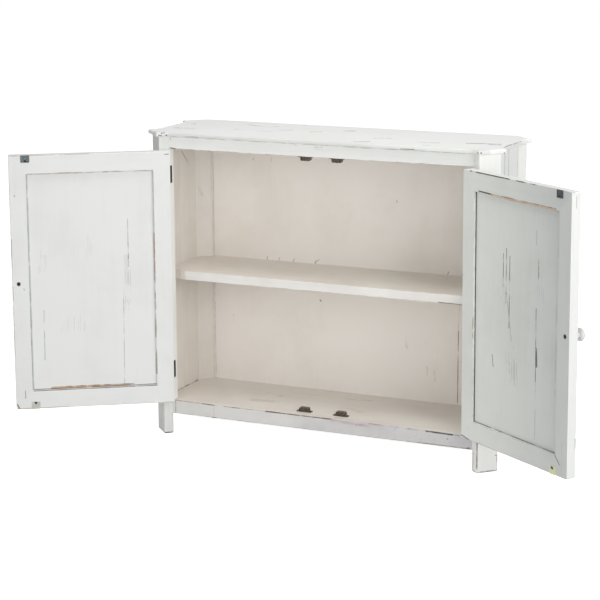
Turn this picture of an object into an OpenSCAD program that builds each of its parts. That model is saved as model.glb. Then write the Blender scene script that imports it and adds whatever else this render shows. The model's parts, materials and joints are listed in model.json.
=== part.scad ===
// Two-door cabinet on four canted corner posts, with one shelf.
// X runs along the front, Y from the front to the back, Z up. The feet stand on Z = 0.
// The doors are drawn open by open_angle. In the plan that the modules share, Y = 0 is the line
// through the front arrises of the two front posts, and place() moves it to the origin.

/* [Case] */
// Width over the outer arrises of the posts
case_w = 1020; // [860:5:1300]
// Depth from the front arrises to the back arrises of the posts
case_d = 295; // [260:1:400]
// Height of the top's upper face
case_h = 860; // [760:5:1000]

/* [Posts] */
// Width of a post's wide face, which is turned 45 degrees outward
post_w = 62.5; // [56:0.5:72]
// Thickness of a post
post_t = 26.5; // [23:0.5:30]
// Radius of the worn long edges of posts, rails and doors
edge_r = 1.6; // [0.8:0.1:2.4]
// Radius of the worn lower corners of the feet
foot_r = 5; // [2:0.5:7]

/* [Top] */
// Thickness of the top board
top_t = 12; // [12:0.5:22]
// Overhang of the ears past the wide faces of the posts
ear_over = 9; // [5:0.5:14]
// Length of an ear past the outer arris of its post
ear_outer = 11; // [6:0.5:16]
// Length of an ear past the front arris of its post
ear_inner = 5; // [2:0.5:9]
// Overhang of the straight edges past the rails and the side boards
edge_over = 10; // [6:0.5:14]
// Overhang of the back edge past the back arrises
back_over = 7; // [2:0.5:12]
// Radius of the top board's upper and lower edges
nose_r = 4; // [2:0.2:5.5]
// Radius of the ears' corners seen from above
ear_r = 3; // [1:0.2:5]

/* [Rails] */
// Thickness of the rails and of the door jambs
rail_t = 22; // [18:0.5:24]
// Height of the top rail under the top board
top_rail_h = 35; // [28:1:60]
// Height of the bottom rail
bottom_rail_h = 40; // [34:1:60]
// Height of the feet below the bottom rail
foot_h = 58; // [30:1:120]
// Width of a door jamb beside its post
jamb_w = 3.5; // [3:0.5:12]
// Height of the rail inside the back, under the top board
back_rail_h = 62; // [40:1:80]
// Thickness of the rails inside the back
back_rail_t = 20; // [16:0.5:24]

/* [Boards] */
// How far the side boards' inner faces lie outside the front arrises
side_set = 16; // [13:0.5:18]
// Thickness of the side boards
side_t = 13; // [11:0.5:16]
// How far the back panel's inner face lies in front of the back arrises
back_set = 11; // [10:0.5:14]
// Thickness of the back panel
back_t = 8; // [6:0.5:9]
// Thickness of the bottom board
floor_t = 18; // [14:0.5:22]
// Thickness of the shelf
shelf_t = 25; // [18:0.5:30]
// Height of the shelf's upper face
shelf_z = 465; // [320:1:560]
// Gap between the closed doors and the shelf
shelf_gap = 3; // [3:0.5:12]
// Length of the shelf's cut corners along the front
shelf_cut_x = 28; // [16:1:40]
// Depth of the shelf's cut corners
shelf_cut_y = 9; // [5:0.5:14]
// Width and height of the cleats under the shelf
shelf_cleat = 16; // [12:0.5:20]
// Distance of the shelf's cleats behind its front edge
shelf_cleat_set = 90; // [60:5:110]
// Width and height of the cleats under the bottom board
floor_cleat = 20; // [14:0.5:22]
// Depth of the rail behind the top rail that carries the upper catches
catch_rail_d = 26; // [22:0.5:32]
// Leg of the triangular glue blocks under the top board
glue_block = 32; // [20:1:36]

/* [Doors] */
// Angle by which the doors stand open
open_angle = 146; // [90:1:150]
// Thickness of the doors' frames
door_t = 27; // [22:0.5:28]
// Gap round the doors and between them
door_gap = 2; // [1.5:0.1:3]
// Width of the stiles
stile_w = 48; // [40:1:60]
// Width of the doors' rails
door_rail_w = 52; // [40:1:70]
// Thickness of the door panels
panel_t = 10; // [6:0.5:12]
// Depth of the groove that holds a door panel
groove_d = 10; // [8:0.5:12]
// Room that a panel has in its groove on each side
panel_play = 1.2; // [0.5:0.1:2]
// Clearance of panels and tongues in their grooves
tongue_fit = 0.1; // [0.05:0.01:0.3]
// Radius of the doors' corners seen from the front
door_corner_r = 5; // [1:0.5:8]

/* [Hinges] */
// Height of a hinge
hinge_h = 48; // [40:1:60]
// Width of a hinge leaf from the pin's axis
leaf_w = 14; // [12:0.5:18]
// Thickness of a hinge leaf
leaf_t = 1.1; // [1:0.05:1.3]
// Gap between the jamb and the door's edge, which holds both leaves
hinge_gap = 3; // [2.8:0.1:4]
// Gap between the knuckles and the doors' outer faces
knuckle_set = 0.8; // [0.1:0.05:1.5]
// Radius of the hinge pin
pin_r = 1.1; // [0.9:0.05:1.3]
// Outer radius of the knuckles
knuckle_r = 2.2; // [2:0.05:2.6]
// Radial clearance of the door's knuckles on the pin
pin_fit = 0.05; // [0.02:0.01:0.1]
// Gap between neighbouring knuckles
knuckle_gap = 0.3; // [0.2:0.05:0.6]
// Distance of the upper hinge's middle below the door's top
upper_hinge = 70; // [50:1:140]
// Distance of the lower hinge's middle above the door's bottom
lower_hinge = 87; // [50:1:140]
// Distance between the two screws of a leaf
leaf_screws = 30; // [24:1:36]
// Distance of the leaf screws from the pin's axis
leaf_screw_in = 8.5; // [7.5:0.25:9]

/* [Catches] */
// Distance of the upper catches from the middle
upper_catch_x = 46; // [40:1:120]
// Distance of the lower catches from the middle
lower_catch_x = 55; // [54:1:120]
// Length of a catch's base
catch_base_w = 44; // [36:1:50]
// Thickness of a catch's base
catch_base_t = 2; // [1.5:0.1:3]
// Length of a catch's body at its top
catch_body_w = 26; // [20:1:27]
// How far each end of a catch's body slopes out to its base
catch_slope = 2; // [1:0.25:2.5]
// Height of a catch over the board that carries it
catch_h = 12; // [11:0.5:14]
// Thickness of the pads between the upper catches and their rail
catch_pad_t = 4; // [3:0.5:6]
// Depth of a catch
catch_d = 15; // [12:0.5:20]
// Thickness of the magnet
magnet_t = 4; // [3:0.5:6]
// Thickness of a pole plate
pole_t = 1.2; // [0.8:0.1:2]
// Gap between a pole plate and the closed door's strike plate
catch_gap = 0.4; // [0.2:0.1:1]
// Width of a strike plate
strike_w = 24; // [18:1:30]
// Height of a strike plate
strike_h = 20; // [16:1:26]
// Thickness of a strike plate
strike_t = 1.2; // [0.8:0.1:2]
// Distance of a strike plate's screw from the edge nearer the door's panel
strike_screw_in = 4.5; // [4:0.25:8]
// Distance between the screws of a catch
catch_screws = 36.5; // [36:0.5:38]

/* [Knobs and screws] */
// Distance of a knob's axis from the door's free edge
knob_in = 17.5; // [13:0.5:30]
// Radius of a knob's head
knob_r = 17; // [12:0.5:20]
// How far a knob stands out
knob_l = 27; // [22:0.5:34]
// Radius of a knob's neck
knob_neck_r = 7.5; // [6:0.25:9]
// Radius of a knob's foot
knob_foot_r = 10.5; // [8:0.25:12]
// Radius of the knob's screw
knob_screw_r = 2; // [1.5:0.1:2.5]
// Depth of the screw in the knob
knob_screw_d = 14; // [10:0.5:18]
// Radius of the small wood screws
screw_r = 1.3; // [1:0.05:1.5]
// Length of the small wood screws
screw_l = 9; // [8:0.5:12]
// Radial clearance of a screw in its hole
screw_fit = 0.05; // [0.02:0.01:0.1]

/* [Hidden] */
$fn = 48;
white = "#eceeea";
cream = "#d6cdbf";
bronze = "#4b3b2d";
dark_steel = "#33302d";
plate_steel = "#5d6a70";

// Meeting edges are placed on hundredths of a millimetre
function hundredth(x) = round(100 * x) / 100;

// Plan of the posts: half the distance between the front arrises, and the reach of the 45 degree faces
reach = hundredth(post_w * sin(45));
corner = hundredth(post_t * sin(45));
tip_x = case_w / 2 - reach;

// Planes of the front and of the boards
face_y = corner;
rail_back = face_y + rail_t;
side_in = tip_x + side_set;
side_out = side_in + side_t;
back_y = case_d - back_set;

// Heights
under_top = case_h - top_t;
rail_low = foot_h;
floor_z = rail_low + bottom_rail_h;
opening_top = under_top - top_rail_h;
door_low = floor_z + door_gap;
door_high = opening_top - door_gap;
door_h = door_high - door_low;

// Doors and hinges, for the right-hand side with the door closed
jamb_x = tip_x - corner - jamb_w;
door_edge_x = jamb_x - hinge_gap;
door_free_x = door_gap / 2;
door_w = door_edge_x - door_free_x;
door_back = face_y + door_t;
pin_x = jamb_x - hinge_gap / 2;
pin_y = face_y - knuckle_r - knuckle_set;
hinge_z = [door_low + lower_hinge, door_high - upper_hinge];
groove_y = face_y + (door_t - panel_t) / 2;
knob_x = door_free_x + knob_in;
knob_z = (door_low + door_high) / 2;
head_r = 2 * screw_r;
head_h = head_r - screw_r;
knob_head_r = 1.8 * knob_screw_r;
catch_front = door_back + strike_t + catch_gap;
upper_catch_z = opening_top - catch_pad_t;
sink_l = screw_l + door_t;
shelf_y = door_back + shelf_gap;

// Top board: an ear's short end and the centres of the hollow edges beside it are on one line, x - y = ear_line
front_line = face_y - edge_over;
side_line = side_out + edge_over;
back_line = case_d + back_over;
ear_line = hundredth(tip_x + ear_over / sin(45));
ear_in_y = -(ear_over + ear_inner) * sin(45);
ear_out_x = tip_x + reach + (ear_over + ear_outer) * sin(45);
front_centre_x = hundredth(ear_line + (ear_in_y - front_line * sin(45)) / (1 - sin(45)));
side_centre_x = hundredth((ear_out_x - side_line * sin(45)) / (1 - sin(45)));
front_centre = [front_centre_x, front_centre_x - ear_line];
side_centre = [side_centre_x, side_centre_x - ear_line];
cove_front = front_line - front_centre.y;
cove_side = side_centre.x - side_line;
ear_front = floor(ear_in_y) - 1;
ear_side = ceil(ear_out_x) + 1;

// The origin is the middle of the whole depth, from the open doors' free edges to the top's back edge
free_arris_y = pin_y - (pin_x - door_free_x - edge_r) * sin(open_angle)
    + (door_back - edge_r - pin_y) * cos(open_angle) - edge_r;
origin_y = (free_arris_y + back_line) / 2;

module place() {
    translate([0, -origin_y, 0]) children();
}

// Puts what is drawn for the right-hand side on either side: side is 1 or -1
module on_side(side) {
    mirror([side < 0 ? 1 : 0, 0, 0]) children();
}

// Puts what is drawn on the front on the back
module at_back() {
    translate([0, case_d, 0]) mirror([0, 1, 0]) children();
}

// Turns a closed right-hand door to its open place
module opened(side) {
    place() on_side(side) translate([pin_x, pin_y, 0]) rotate([0, 0, open_angle])
        translate([-pin_x, -pin_y, 0]) children();
}

// A rectangle with round corners
module round_rect(w, h, r) {
    translate([r, 0]) square([w - 2 * r, h]);
    translate([0, r]) square([w, h - 2 * r]);
    for (x = [r, w - r], y = [r, h - r]) translate([x, y]) circle(r);
}

// A rectangle with its two lower corners round
module footed_rect(w, h, r) {
    translate([r, 0]) square([w - 2 * r, h]);
    translate([0, r]) square([w, h - r]);
    for (x = [r, w - r]) translate([x, r]) circle(r);
}

// Plan of the right-hand front post
module post_plan() {
    translate([tip_x, 0]) rotate(45) round_rect(post_w, post_t, edge_r);
}

// The plan between the four posts, out to half the width x on each side
module between_posts(x) {
    side_y = x - tip_x + 2 * corner;
    half = [[tip_x, 0], [tip_x - corner, corner], [x, side_y],
        [x, case_d - side_y], [tip_x - corner, case_d - corner], [tip_x, case_d]];
    polygon(concat(half, [for (i = [len(half) - 1:-1:0]) [-half[i].x, half[i].y]]));
}

// The part of that plan from y0 to y1
module plan_strip(y0, y1) {
    intersection() {
        between_posts(side_in);
        translate([-case_w, y0]) square([2 * case_w, y1 - y0]);
    }
}

// A bar along X whose section in Y and Z is a rectangle with round edges
module bar(x, y0, y1, z0, z1, r) {
    translate([-x, y0, z0]) rotate([90, 0, 90]) linear_extrude(2 * x) round_rect(y1 - y0, z1 - z0, r);
}

// Posts
module post() {
    color(white) translate([tip_x, 0, 0]) rotate([0, 0, 45]) intersection() {
        linear_extrude(under_top) round_rect(post_w, post_t, edge_r);
        translate([0, post_t + 1, 0]) rotate([90, 0, 0]) linear_extrude(post_t + 2)
            footed_rect(post_w, under_top, foot_r);
        translate([-1, 0, 0]) rotate([90, 0, 90]) linear_extrude(post_w + 2)
            footed_rect(post_t, under_top, foot_r);
    }
}

module front_left_post() { place() on_side(-1) post(); }
module front_right_post() { place() on_side(1) post(); }
module back_left_post() { place() on_side(-1) at_back() post(); }
module back_right_post() { place() on_side(1) at_back() post(); }

// Top board: a middle, two ends and four ears, whose moulded edges run into one another
// A slab with one round edge at p, which faces the angle a; it reaches d behind the edge
module edged_slab(p, a, l, d) {
    translate([p.x, p.y, under_top]) rotate([0, 0, a]) translate([0, l / 2, 0]) rotate([90, 0, 0])
        linear_extrude(l) translate([-d, 0]) {
            round_rect(d, top_t, nose_r);
            square([d / 2, top_t]);
        }
}

// A slab round a hollow edge: all that lies between the circle of radius r round c and d outside it
module hollow_slab(c, r, d) {
    translate([c.x, c.y, under_top]) rotate_extrude($fn = 120) translate([r, 0]) {
        round_rect(d, top_t, nose_r);
        translate([d / 2, 0]) square([d / 2, top_t]);
    }
}

// The cutter that rounds the corner of a hollow edge round c and a straight edge on the radius at the angle a
module ear_corner(c, r, a, flip) {
    centre = [sqrt(r * r + 2 * r * ear_r), ear_r];
    bite = 0.03;
    translate([c.x, c.y, under_top - 1]) rotate([0, 0, a]) mirror([0, flip, 0]) linear_extrude(top_t + 2)
        difference() {
            polygon([centre, [centre.x, -2], [r - 2, -2], centre * (r - 2) / (r + ear_r)]);
            translate(centre) circle(ear_r + bite);
        }
}

module front_ear() {
    size = [ear_side - front_centre.x, side_centre.y - ear_front, top_t];
    difference() {
        intersection() {
            translate([front_centre.x, ear_front, under_top]) cube(size);
            edged_slab([ear_line, 0], -45, case_w, case_w);
            hollow_slab(front_centre, cove_front, case_w);
            hollow_slab(side_centre, cove_side, case_w);
        }
        ear_corner(front_centre, cove_front, 45, 0);
        ear_corner(side_centre, cove_side, 225, 1);
    }
}

module back_ear() {
    size = [ear_side - front_centre.x, back_line - case_d + side_centre.y, top_t];
    difference() {
        intersection() {
            translate([front_centre.x, case_d - side_centre.y, under_top]) cube(size);
            edged_slab([0, back_line], 90, 2 * case_w, case_w);
            at_back() edged_slab([ear_line, 0], -45, case_w, case_w);
            at_back() hollow_slab(side_centre, cove_side, case_w);
        }
        at_back() ear_corner(side_centre, cove_side, 225, 1);
    }
}

module top_board() {
    core_y = front_line + post_t;
    core_x = side_line - 2 * nose_r;
    color(white) place() {
        bar(front_centre.x, front_line, back_line, under_top, case_h, nose_r);
        translate([-core_x, core_y, under_top]) cube([2 * core_x, case_d - 2 * core_y, top_t]);
        for (side = [-1, 1]) on_side(side) {
            edged_slab([side_line, case_d / 2], 0, case_d - 2 * side_centre.y, post_w);
            front_ear();
            back_ear();
        }
    }
}

// Front rails and the jambs that carry the hinges
module front_rail(z0, z1) {
    color(white) place() intersection() {
        bar(tip_x + corner, face_y, rail_back, z0, z1, edge_r);
        translate([0, 0, z0]) linear_extrude(z1 - z0) plan_strip(face_y, rail_back);
    }
}

module front_top_rail() { front_rail(opening_top, under_top); }
module front_bottom_rail() { front_rail(rail_low, floor_z); }

// Holes in the wood for the screws of the hinge leaves: x is the plane of the screws' heads, and dir is 1 for
// the jamb and -1 for the door
module leaf_holes(x, dir) {
    for (z = hinge_z, s = [-1, 1])
        translate([x, pin_y + leaf_screw_in, z + s * leaf_screws / 2]) rotate([0, dir * 90, 0]) screw_hole();
}

// A countersunk hole in the wood for a small screw that enters along +Z
module screw_hole() {
    cylinder(h = head_h, r1 = head_r + screw_fit, r2 = screw_r + screw_fit);
    cylinder(h = screw_l + 1, r = screw_r + screw_fit);
}

module jamb(side) {
    color(white) place() on_side(side) difference() {
        translate([0, 0, floor_z]) linear_extrude(opening_top - floor_z) intersection() {
            plan_strip(face_y, rail_back);
            translate([jamb_x, 0]) square(case_d);
        }
        leaf_holes(jamb_x - leaf_t, 1);
    }
}

module left_door_jamb() { jamb(-1); }
module right_door_jamb() { jamb(1); }

// Rail behind the top rail, with a pad and pilot holes for each upper catch
module catch_rail() {
    pad_w = catch_base_w + 4;
    color(cream) place() difference() {
        union() {
            translate([0, 0, opening_top]) linear_extrude(top_rail_h)
                plan_strip(rail_back, rail_back + catch_rail_d);
            for (s = [-1, 1]) translate([s * upper_catch_x - pad_w / 2, catch_front, upper_catch_z])
                cube([pad_w, catch_d, catch_pad_t + 1]);
        }
        for (s = [-1, 1]) catch_holes(s * upper_catch_x, upper_catch_z - 1);
    }
}

// Rails inside the back, above the opening and below the bottom board
module back_rail(z0, z1) {
    color(cream) place() translate([0, 0, z0]) linear_extrude(z1 - z0)
        plan_strip(back_y - back_rail_t, back_y);
}

module back_top_rail() { back_rail(under_top - back_rail_h, under_top); }
module back_bottom_rail() { back_rail(rail_low, floor_z - floor_t); }

// Side boards: two boards a side, joined by a tongue at mid depth, cut to the posts
tongue_t = side_t / 3;
tongue_l = 5;
side_bevel = 1.2;
side_middle = case_d / 2;

// What the side boards fill: the plan between the posts, outside the planes of the inner faces
module side_strip(y0, y1) {
    intersection() {
        difference() {
            between_posts(side_out);
            translate([-side_in, -1]) square([2 * side_in, case_d + 2]);
        }
        translate([0, y0]) square([case_w, y1 - y0]);
    }
}

module side_front_board(side) {
    color(white) place() on_side(side) translate([0, 0, rail_low]) linear_extrude(under_top - rail_low)
        difference() {
            side_strip(0, side_middle);
            translate([side_in + tongue_t - tongue_fit, side_middle - tongue_l - tongue_fit])
                square([tongue_t + 2 * tongue_fit, 2 * tongue_l]);
            translate([side_out, side_middle]) circle(side_bevel);
        }
}

module side_back_board(side) {
    color(white) place() on_side(side) translate([0, 0, rail_low]) linear_extrude(under_top - rail_low) {
        difference() {
            side_strip(side_middle, case_d);
            translate([side_out, side_middle]) circle(side_bevel);
        }
        translate([side_in + tongue_t, side_middle - tongue_l]) square([tongue_t, 2 * tongue_l]);
    }
}

module left_side_front_board() { side_front_board(-1); }
module left_side_back_board() { side_back_board(-1); }
module right_side_front_board() { side_front_board(1); }
module right_side_back_board() { side_back_board(1); }

// Back panel between the back posts
module back_panel() {
    color(cream) place() translate([0, 0, rail_low]) linear_extrude(under_top - rail_low)
        plan_strip(back_y, back_y + back_t);
}

// Bottom board with the pilot holes of the lower catches
module bottom_board() {
    color(cream) place() difference() {
        translate([0, 0, floor_z - floor_t]) linear_extrude(floor_t) plan_strip(rail_back, back_y);
        for (s = [-1, 1]) catch_holes(s * lower_catch_x, floor_z - screw_l);
    }
}

// Shelf: cut corners at the front clear the hinges, and its back corners follow the posts
module shelf_plan() {
    cut_end = jamb_x - shelf_cut_x;
    intersection() {
        polygon([[-cut_end, shelf_y], [cut_end, shelf_y], [jamb_x, shelf_y + shelf_cut_y],
            [side_in, shelf_y + shelf_cut_y], [side_in, back_y], [-side_in, back_y],
            [-side_in, shelf_y + shelf_cut_y], [-jamb_x, shelf_y + shelf_cut_y]]);
        between_posts(side_in);
    }
}

module shelf() {
    low = shelf_z - shelf_t;
    color(cream) place() intersection() {
        translate([0, 0, low]) linear_extrude(shelf_t) shelf_plan();
        bar(side_in + 1, shelf_y, back_y + 2 * edge_r, low, shelf_z, edge_r);
    }
}

module shelf_cleats() {
    first = shelf_y + shelf_cleat_set;
    last = case_d - 2 * corner - side_set;
    color(cream) place() for (s = [-1, 1]) on_side(s)
        translate([side_in - shelf_cleat, first, shelf_z - shelf_t - shelf_cleat])
            cube([shelf_cleat, last - first, shelf_cleat]);
}

module floor_cleats() {
    first = 2 * corner + side_set;
    color(cream) place() for (s = [-1, 1]) on_side(s)
        translate([side_in - floor_cleat, first, floor_z - floor_t - floor_cleat])
            cube([floor_cleat, case_d - 2 * first, floor_cleat]);
}

// Triangular blocks in the corners between the side boards, the inner rails and the top board
module glue_blocks() {
    front = rail_back + catch_rail_d;
    inner = [[side_in, front, 1], [side_in, case_d - 2 * corner - side_set, -1]];
    color(cream) place() for (s = [-1, 1], p = inner) on_side(s)
        translate([p.x, p.y, under_top - glue_block]) linear_extrude(glue_block)
            polygon([[0, 0], [-glue_block, 0], [0, p.z * glue_block]]);
}

// Hinges. The frame's leaf has the outer two knuckles and the door's leaf the middle one.
knuckle_h = hinge_h / 3;

module knuckle(z, h, r) {
    translate([pin_x, pin_y, z]) difference() {
        cylinder(h = h, r = knuckle_r);
        translate([0, 0, -1]) cylinder(h = h + 2, r = r);
    }
}

// The flat of a leaf in the plane x0 to x0 + leaf_t, without its knuckles
module leaf_flat(x0, z) {
    translate([x0, pin_y, z - hinge_h / 2]) cube([leaf_t, leaf_w, hinge_h]);
}

module frame_leaf(side, z) {
    x0 = jamb_x - leaf_t;
    low = z - hinge_h / 2;
    color(dark_steel) place() on_side(side) difference() {
        union() {
            for (k = [0, 2]) knuckle(low + k * knuckle_h, knuckle_h, pin_r + screw_fit / 2);
            difference() {
                leaf_flat(x0, z);
                translate([pin_x, pin_y, low - 1]) cylinder(h = hinge_h + 2, r = (knuckle_r + pin_r) / 2);
                translate([pin_x, pin_y, low + knuckle_h - knuckle_gap])
                    cylinder(h = knuckle_h + 2 * knuckle_gap, r = knuckle_r + knuckle_gap);
            }
        }
        leaf_sinks(x0, z, 1);
    }
}

module door_leaf(side, z) {
    x0 = door_edge_x;
    low = z - hinge_h / 2;
    color(dark_steel) opened(side) difference() {
        union() {
            knuckle(low + knuckle_h + knuckle_gap, knuckle_h - 2 * knuckle_gap, pin_r + pin_fit);
            difference() {
                leaf_flat(x0, z);
                translate([pin_x, pin_y, low - 1]) cylinder(h = hinge_h + 2, r = (knuckle_r + pin_r) / 2);
                for (k = [0, 2]) translate([pin_x, pin_y, low + k * knuckle_h - knuckle_gap])
                    cylinder(h = knuckle_h + 2 * knuckle_gap, r = knuckle_r + knuckle_gap);
            }
        }
        leaf_sinks(x0, z, -1);
    }
}

// Countersunk holes through a leaf: the wide end faces the gap, dir is 1 for the jamb and -1 for the door
module leaf_sinks(x0, z, dir) {
    start = dir > 0 ? x0 : x0 + leaf_t;
    for (s = [-1, 1]) translate([start, pin_y + leaf_screw_in, z + s * leaf_screws / 2])
        rotate([0, dir * 90, 0]) sink(screw_r + screw_fit, head_r + screw_fit, head_h);
}

// The cutter for a countersunk screw that enters along +Z
module sink(r, big, h) {
    translate([0, 0, -1]) cylinder(h = 1, r = big);
    cylinder(h = h, r1 = big, r2 = r);
    cylinder(h = sink_l, r = r);
}

// A countersunk screw that enters along +Z, its head flush with Z = 0
module wood_screw(l) {
    difference() {
        union() {
            cylinder(h = head_h, r1 = head_r, r2 = screw_r);
            translate([0, 0, head_h]) cylinder(h = l - head_h - screw_r, r = screw_r);
            translate([0, 0, l - screw_r]) cylinder(h = screw_r, r1 = screw_r, r2 = screw_r / 4);
        }
        cross_slot(head_r);
    }
}

module cross_slot(r) {
    for (a = [0, 90]) rotate([0, 0, a]) translate([-r * 0.6, -r * 0.12, -1]) cube([r * 1.2, r * 0.24, 1.5]);
}

module left_upper_frame_leaf() { frame_leaf(-1, hinge_z[1]); }
module left_lower_frame_leaf() { frame_leaf(-1, hinge_z[0]); }
module right_upper_frame_leaf() { frame_leaf(1, hinge_z[1]); }
module right_lower_frame_leaf() { frame_leaf(1, hinge_z[0]); }
module left_upper_door_leaf() { door_leaf(-1, hinge_z[1]); }
module left_lower_door_leaf() { door_leaf(-1, hinge_z[0]); }
module right_upper_door_leaf() { door_leaf(1, hinge_z[1]); }
module right_lower_door_leaf() { door_leaf(1, hinge_z[0]); }

// Hinge pins with a low head at each end
module hinge_pins(side) {
    head = 0.8;
    color(dark_steel) place() on_side(side) for (z = hinge_z)
        translate([pin_x, pin_y, z - hinge_h / 2]) {
            cylinder(h = hinge_h, r = pin_r);
            for (end = [-head, hinge_h]) translate([0, 0, end]) cylinder(h = head, r = knuckle_r * 0.8);
        }
}

module left_hinge_pins() { hinge_pins(-1); }
module right_hinge_pins() { hinge_pins(1); }

module jamb_screws(side) {
    color(dark_steel) place() on_side(side) for (z = hinge_z, s = [-1, 1])
        translate([jamb_x - leaf_t, pin_y + leaf_screw_in, z + s * leaf_screws / 2])
            rotate([0, 90, 0]) wood_screw(screw_l);
}

module left_jamb_screws() { jamb_screws(-1); }
module right_jamb_screws() { jamb_screws(1); }

// Doors, drawn closed on the right-hand side. Their frames are mitred, with the panels in a groove.
// What one member of a frame fills: kind is 0 hinge stile, 1 free stile, 2 top rail, 3 bottom rail
module member_plan(kind) {
    low = door_rail_w;
    high = door_h - door_rail_w;
    near = stile_w;
    far = door_w - stile_w;
    polygon(kind == 0 ? [[door_w, 0], [door_w, door_h], [far, high], [far, low]]
        : kind == 1 ? [[0, 0], [near, low], [near, high], [0, door_h]]
        : kind == 2 ? [[0, door_h], [near, high], [far, high], [door_w, door_h]]
        : [[0, 0], [door_w, 0], [far, low], [near, low]]);
}

// The section of a frame member w wide, its inner edge with the groove at X = 0
module member_section(w) {
    difference() {
        round_rect(w, door_t, edge_r);
        translate([-1, (door_t - panel_t) / 2 - tongue_fit]) square([groove_d + 1, panel_t + 2 * tongue_fit]);
    }
}

module upright_bar(x, turn) {
    translate([x, face_y, door_low]) mirror([turn, 0, 0]) linear_extrude(door_h) member_section(stile_w);
}

// A rail's bar with its groove at the height z, and the section upward of it, or downward with turn = 1
module level_bar(z, turn) {
    translate([door_free_x, face_y, z]) mirror([0, 0, turn]) rotate([90, 0, 90]) linear_extrude(door_w)
        mirror([1, 0]) rotate(90) member_section(door_rail_w);
}

module frame_member(kind, side) {
    color(white) opened(side) difference() {
        intersection() {
            translate([door_free_x, door_back + 1, door_low]) rotate([90, 0, 0])
                linear_extrude(door_t + 2) intersection() {
                    member_plan(kind);
                    round_rect(door_w, door_h, door_corner_r);
                }
            if (kind == 0) upright_bar(door_edge_x - stile_w, 0);
            else if (kind == 1) upright_bar(door_free_x + stile_w, 1);
            else if (kind == 2) level_bar(door_high - door_rail_w, 0);
            else level_bar(door_low + door_rail_w, 1);
        }
        if (kind == 0) leaf_holes(door_edge_x + leaf_t, -1);
        if (kind == 1) knob_hole();
        if (kind != 0) strike_holes();
    }
}

module knob_hole() {
    translate([knob_x, face_y - 1, knob_z]) rotate([-90, 0, 0])
        cylinder(h = door_t + 2, r = knob_screw_r + screw_fit);
    translate([knob_x, door_back, knob_z]) rotate([90, 0, 0])
        sink(knob_screw_r + screw_fit, knob_head_r + screw_fit, knob_head_r - knob_screw_r);
}

module door_panel(side) {
    e = groove_d - panel_play;
    color(white) opened(side)
        translate([door_free_x + stile_w - e, groove_y, door_low + door_rail_w - e])
            cube([door_w - 2 * stile_w + 2 * e, panel_t, door_h - 2 * door_rail_w + 2 * e]);
}

module left_door_hinge_stile() { frame_member(0, -1); }
module left_door_free_stile() { frame_member(1, -1); }
module left_door_top_rail() { frame_member(2, -1); }
module left_door_bottom_rail() { frame_member(3, -1); }
module left_door_panel() { door_panel(-1); }
module right_door_hinge_stile() { frame_member(0, 1); }
module right_door_free_stile() { frame_member(1, 1); }
module right_door_top_rail() { frame_member(2, 1); }
module right_door_bottom_rail() { frame_member(3, 1); }
module right_door_panel() { door_panel(1); }

module door_leaf_screws() {
    for (z = hinge_z, s = [-1, 1])
        translate([door_edge_x + leaf_t, pin_y + leaf_screw_in, z + s * leaf_screws / 2])
            rotate([0, -90, 0]) wood_screw(screw_l);
}

// Strike plates on the doors' inner faces, opposite the catches
strike_places = [[lower_catch_x, door_low + strike_h / 2], [upper_catch_x, door_high - strike_h / 2]];
strike_screws = [[lower_catch_x, door_low + strike_h - strike_screw_in],
    [upper_catch_x, door_high - strike_h + strike_screw_in]];

module strike_holes() {
    for (p = strike_screws) translate([p.x, door_back + strike_t, p.y]) rotate([90, 0, 0]) screw_hole();
}

module strike_plates(side) {
    color(plate_steel) opened(side) difference() {
        for (p = strike_places)
            translate([p.x - strike_w / 2, door_back + strike_t, p.y - strike_h / 2]) rotate([90, 0, 0])
                linear_extrude(strike_t) round_rect(strike_w, strike_h, 1.5);
        for (p = strike_screws) translate([p.x, door_back + strike_t, p.y]) rotate([90, 0, 0])
            sink(screw_r + screw_fit, head_r + screw_fit, head_h);
    }
}

module door_screws(side) {
    color(dark_steel) opened(side) {
        door_leaf_screws();
        for (p = strike_screws) translate([p.x, door_back + strike_t, p.y]) rotate([90, 0, 0])
            wood_screw(screw_l);
    }
}

module left_strike_plates() { strike_plates(-1); }
module right_strike_plates() { strike_plates(1); }
module left_door_screws() { door_screws(-1); }
module right_door_screws() { door_screws(1); }

// A turned knob: foot, neck and a rounded head, along -Y from the door's outer face
module knob_profile() {
    head_z = knob_l - knob_r * 0.42;
    difference() {
        union() {
            square([knob_foot_r, 3]);
            translate([0, 3]) square([knob_neck_r, head_z - 3]);
            translate([0, 3]) scale([1, 0.35]) intersection() {
                circle(knob_foot_r);
                square(knob_foot_r);
            }
            translate([0, head_z]) intersection() {
                scale([1, 0.42]) circle(knob_r);
                translate([0, -knob_r]) square([knob_r, 2 * knob_r]);
            }
        }
        translate([-1, -1]) square([1 + knob_screw_r + screw_fit, knob_screw_d + 2]);
    }
}

module knob(side) {
    color(white) opened(side) translate([knob_x, face_y, knob_z]) rotate([90, 0, 0])
        rotate_extrude() knob_profile();
}

module knob_screw(side) {
    length = door_t + knob_screw_d;
    head = knob_head_r - knob_screw_r;
    color(dark_steel) opened(side) translate([knob_x, door_back, knob_z]) rotate([90, 0, 0]) difference() {
        union() {
            cylinder(h = head, r1 = knob_head_r, r2 = knob_screw_r);
            cylinder(h = length, r = knob_screw_r);
        }
        cross_slot(knob_head_r);
    }
}

module left_knob() { knob(-1); }
module right_knob() { knob(1); }
module left_knob_screw() { knob_screw(-1); }
module right_knob_screw() { knob_screw(1); }

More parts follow.
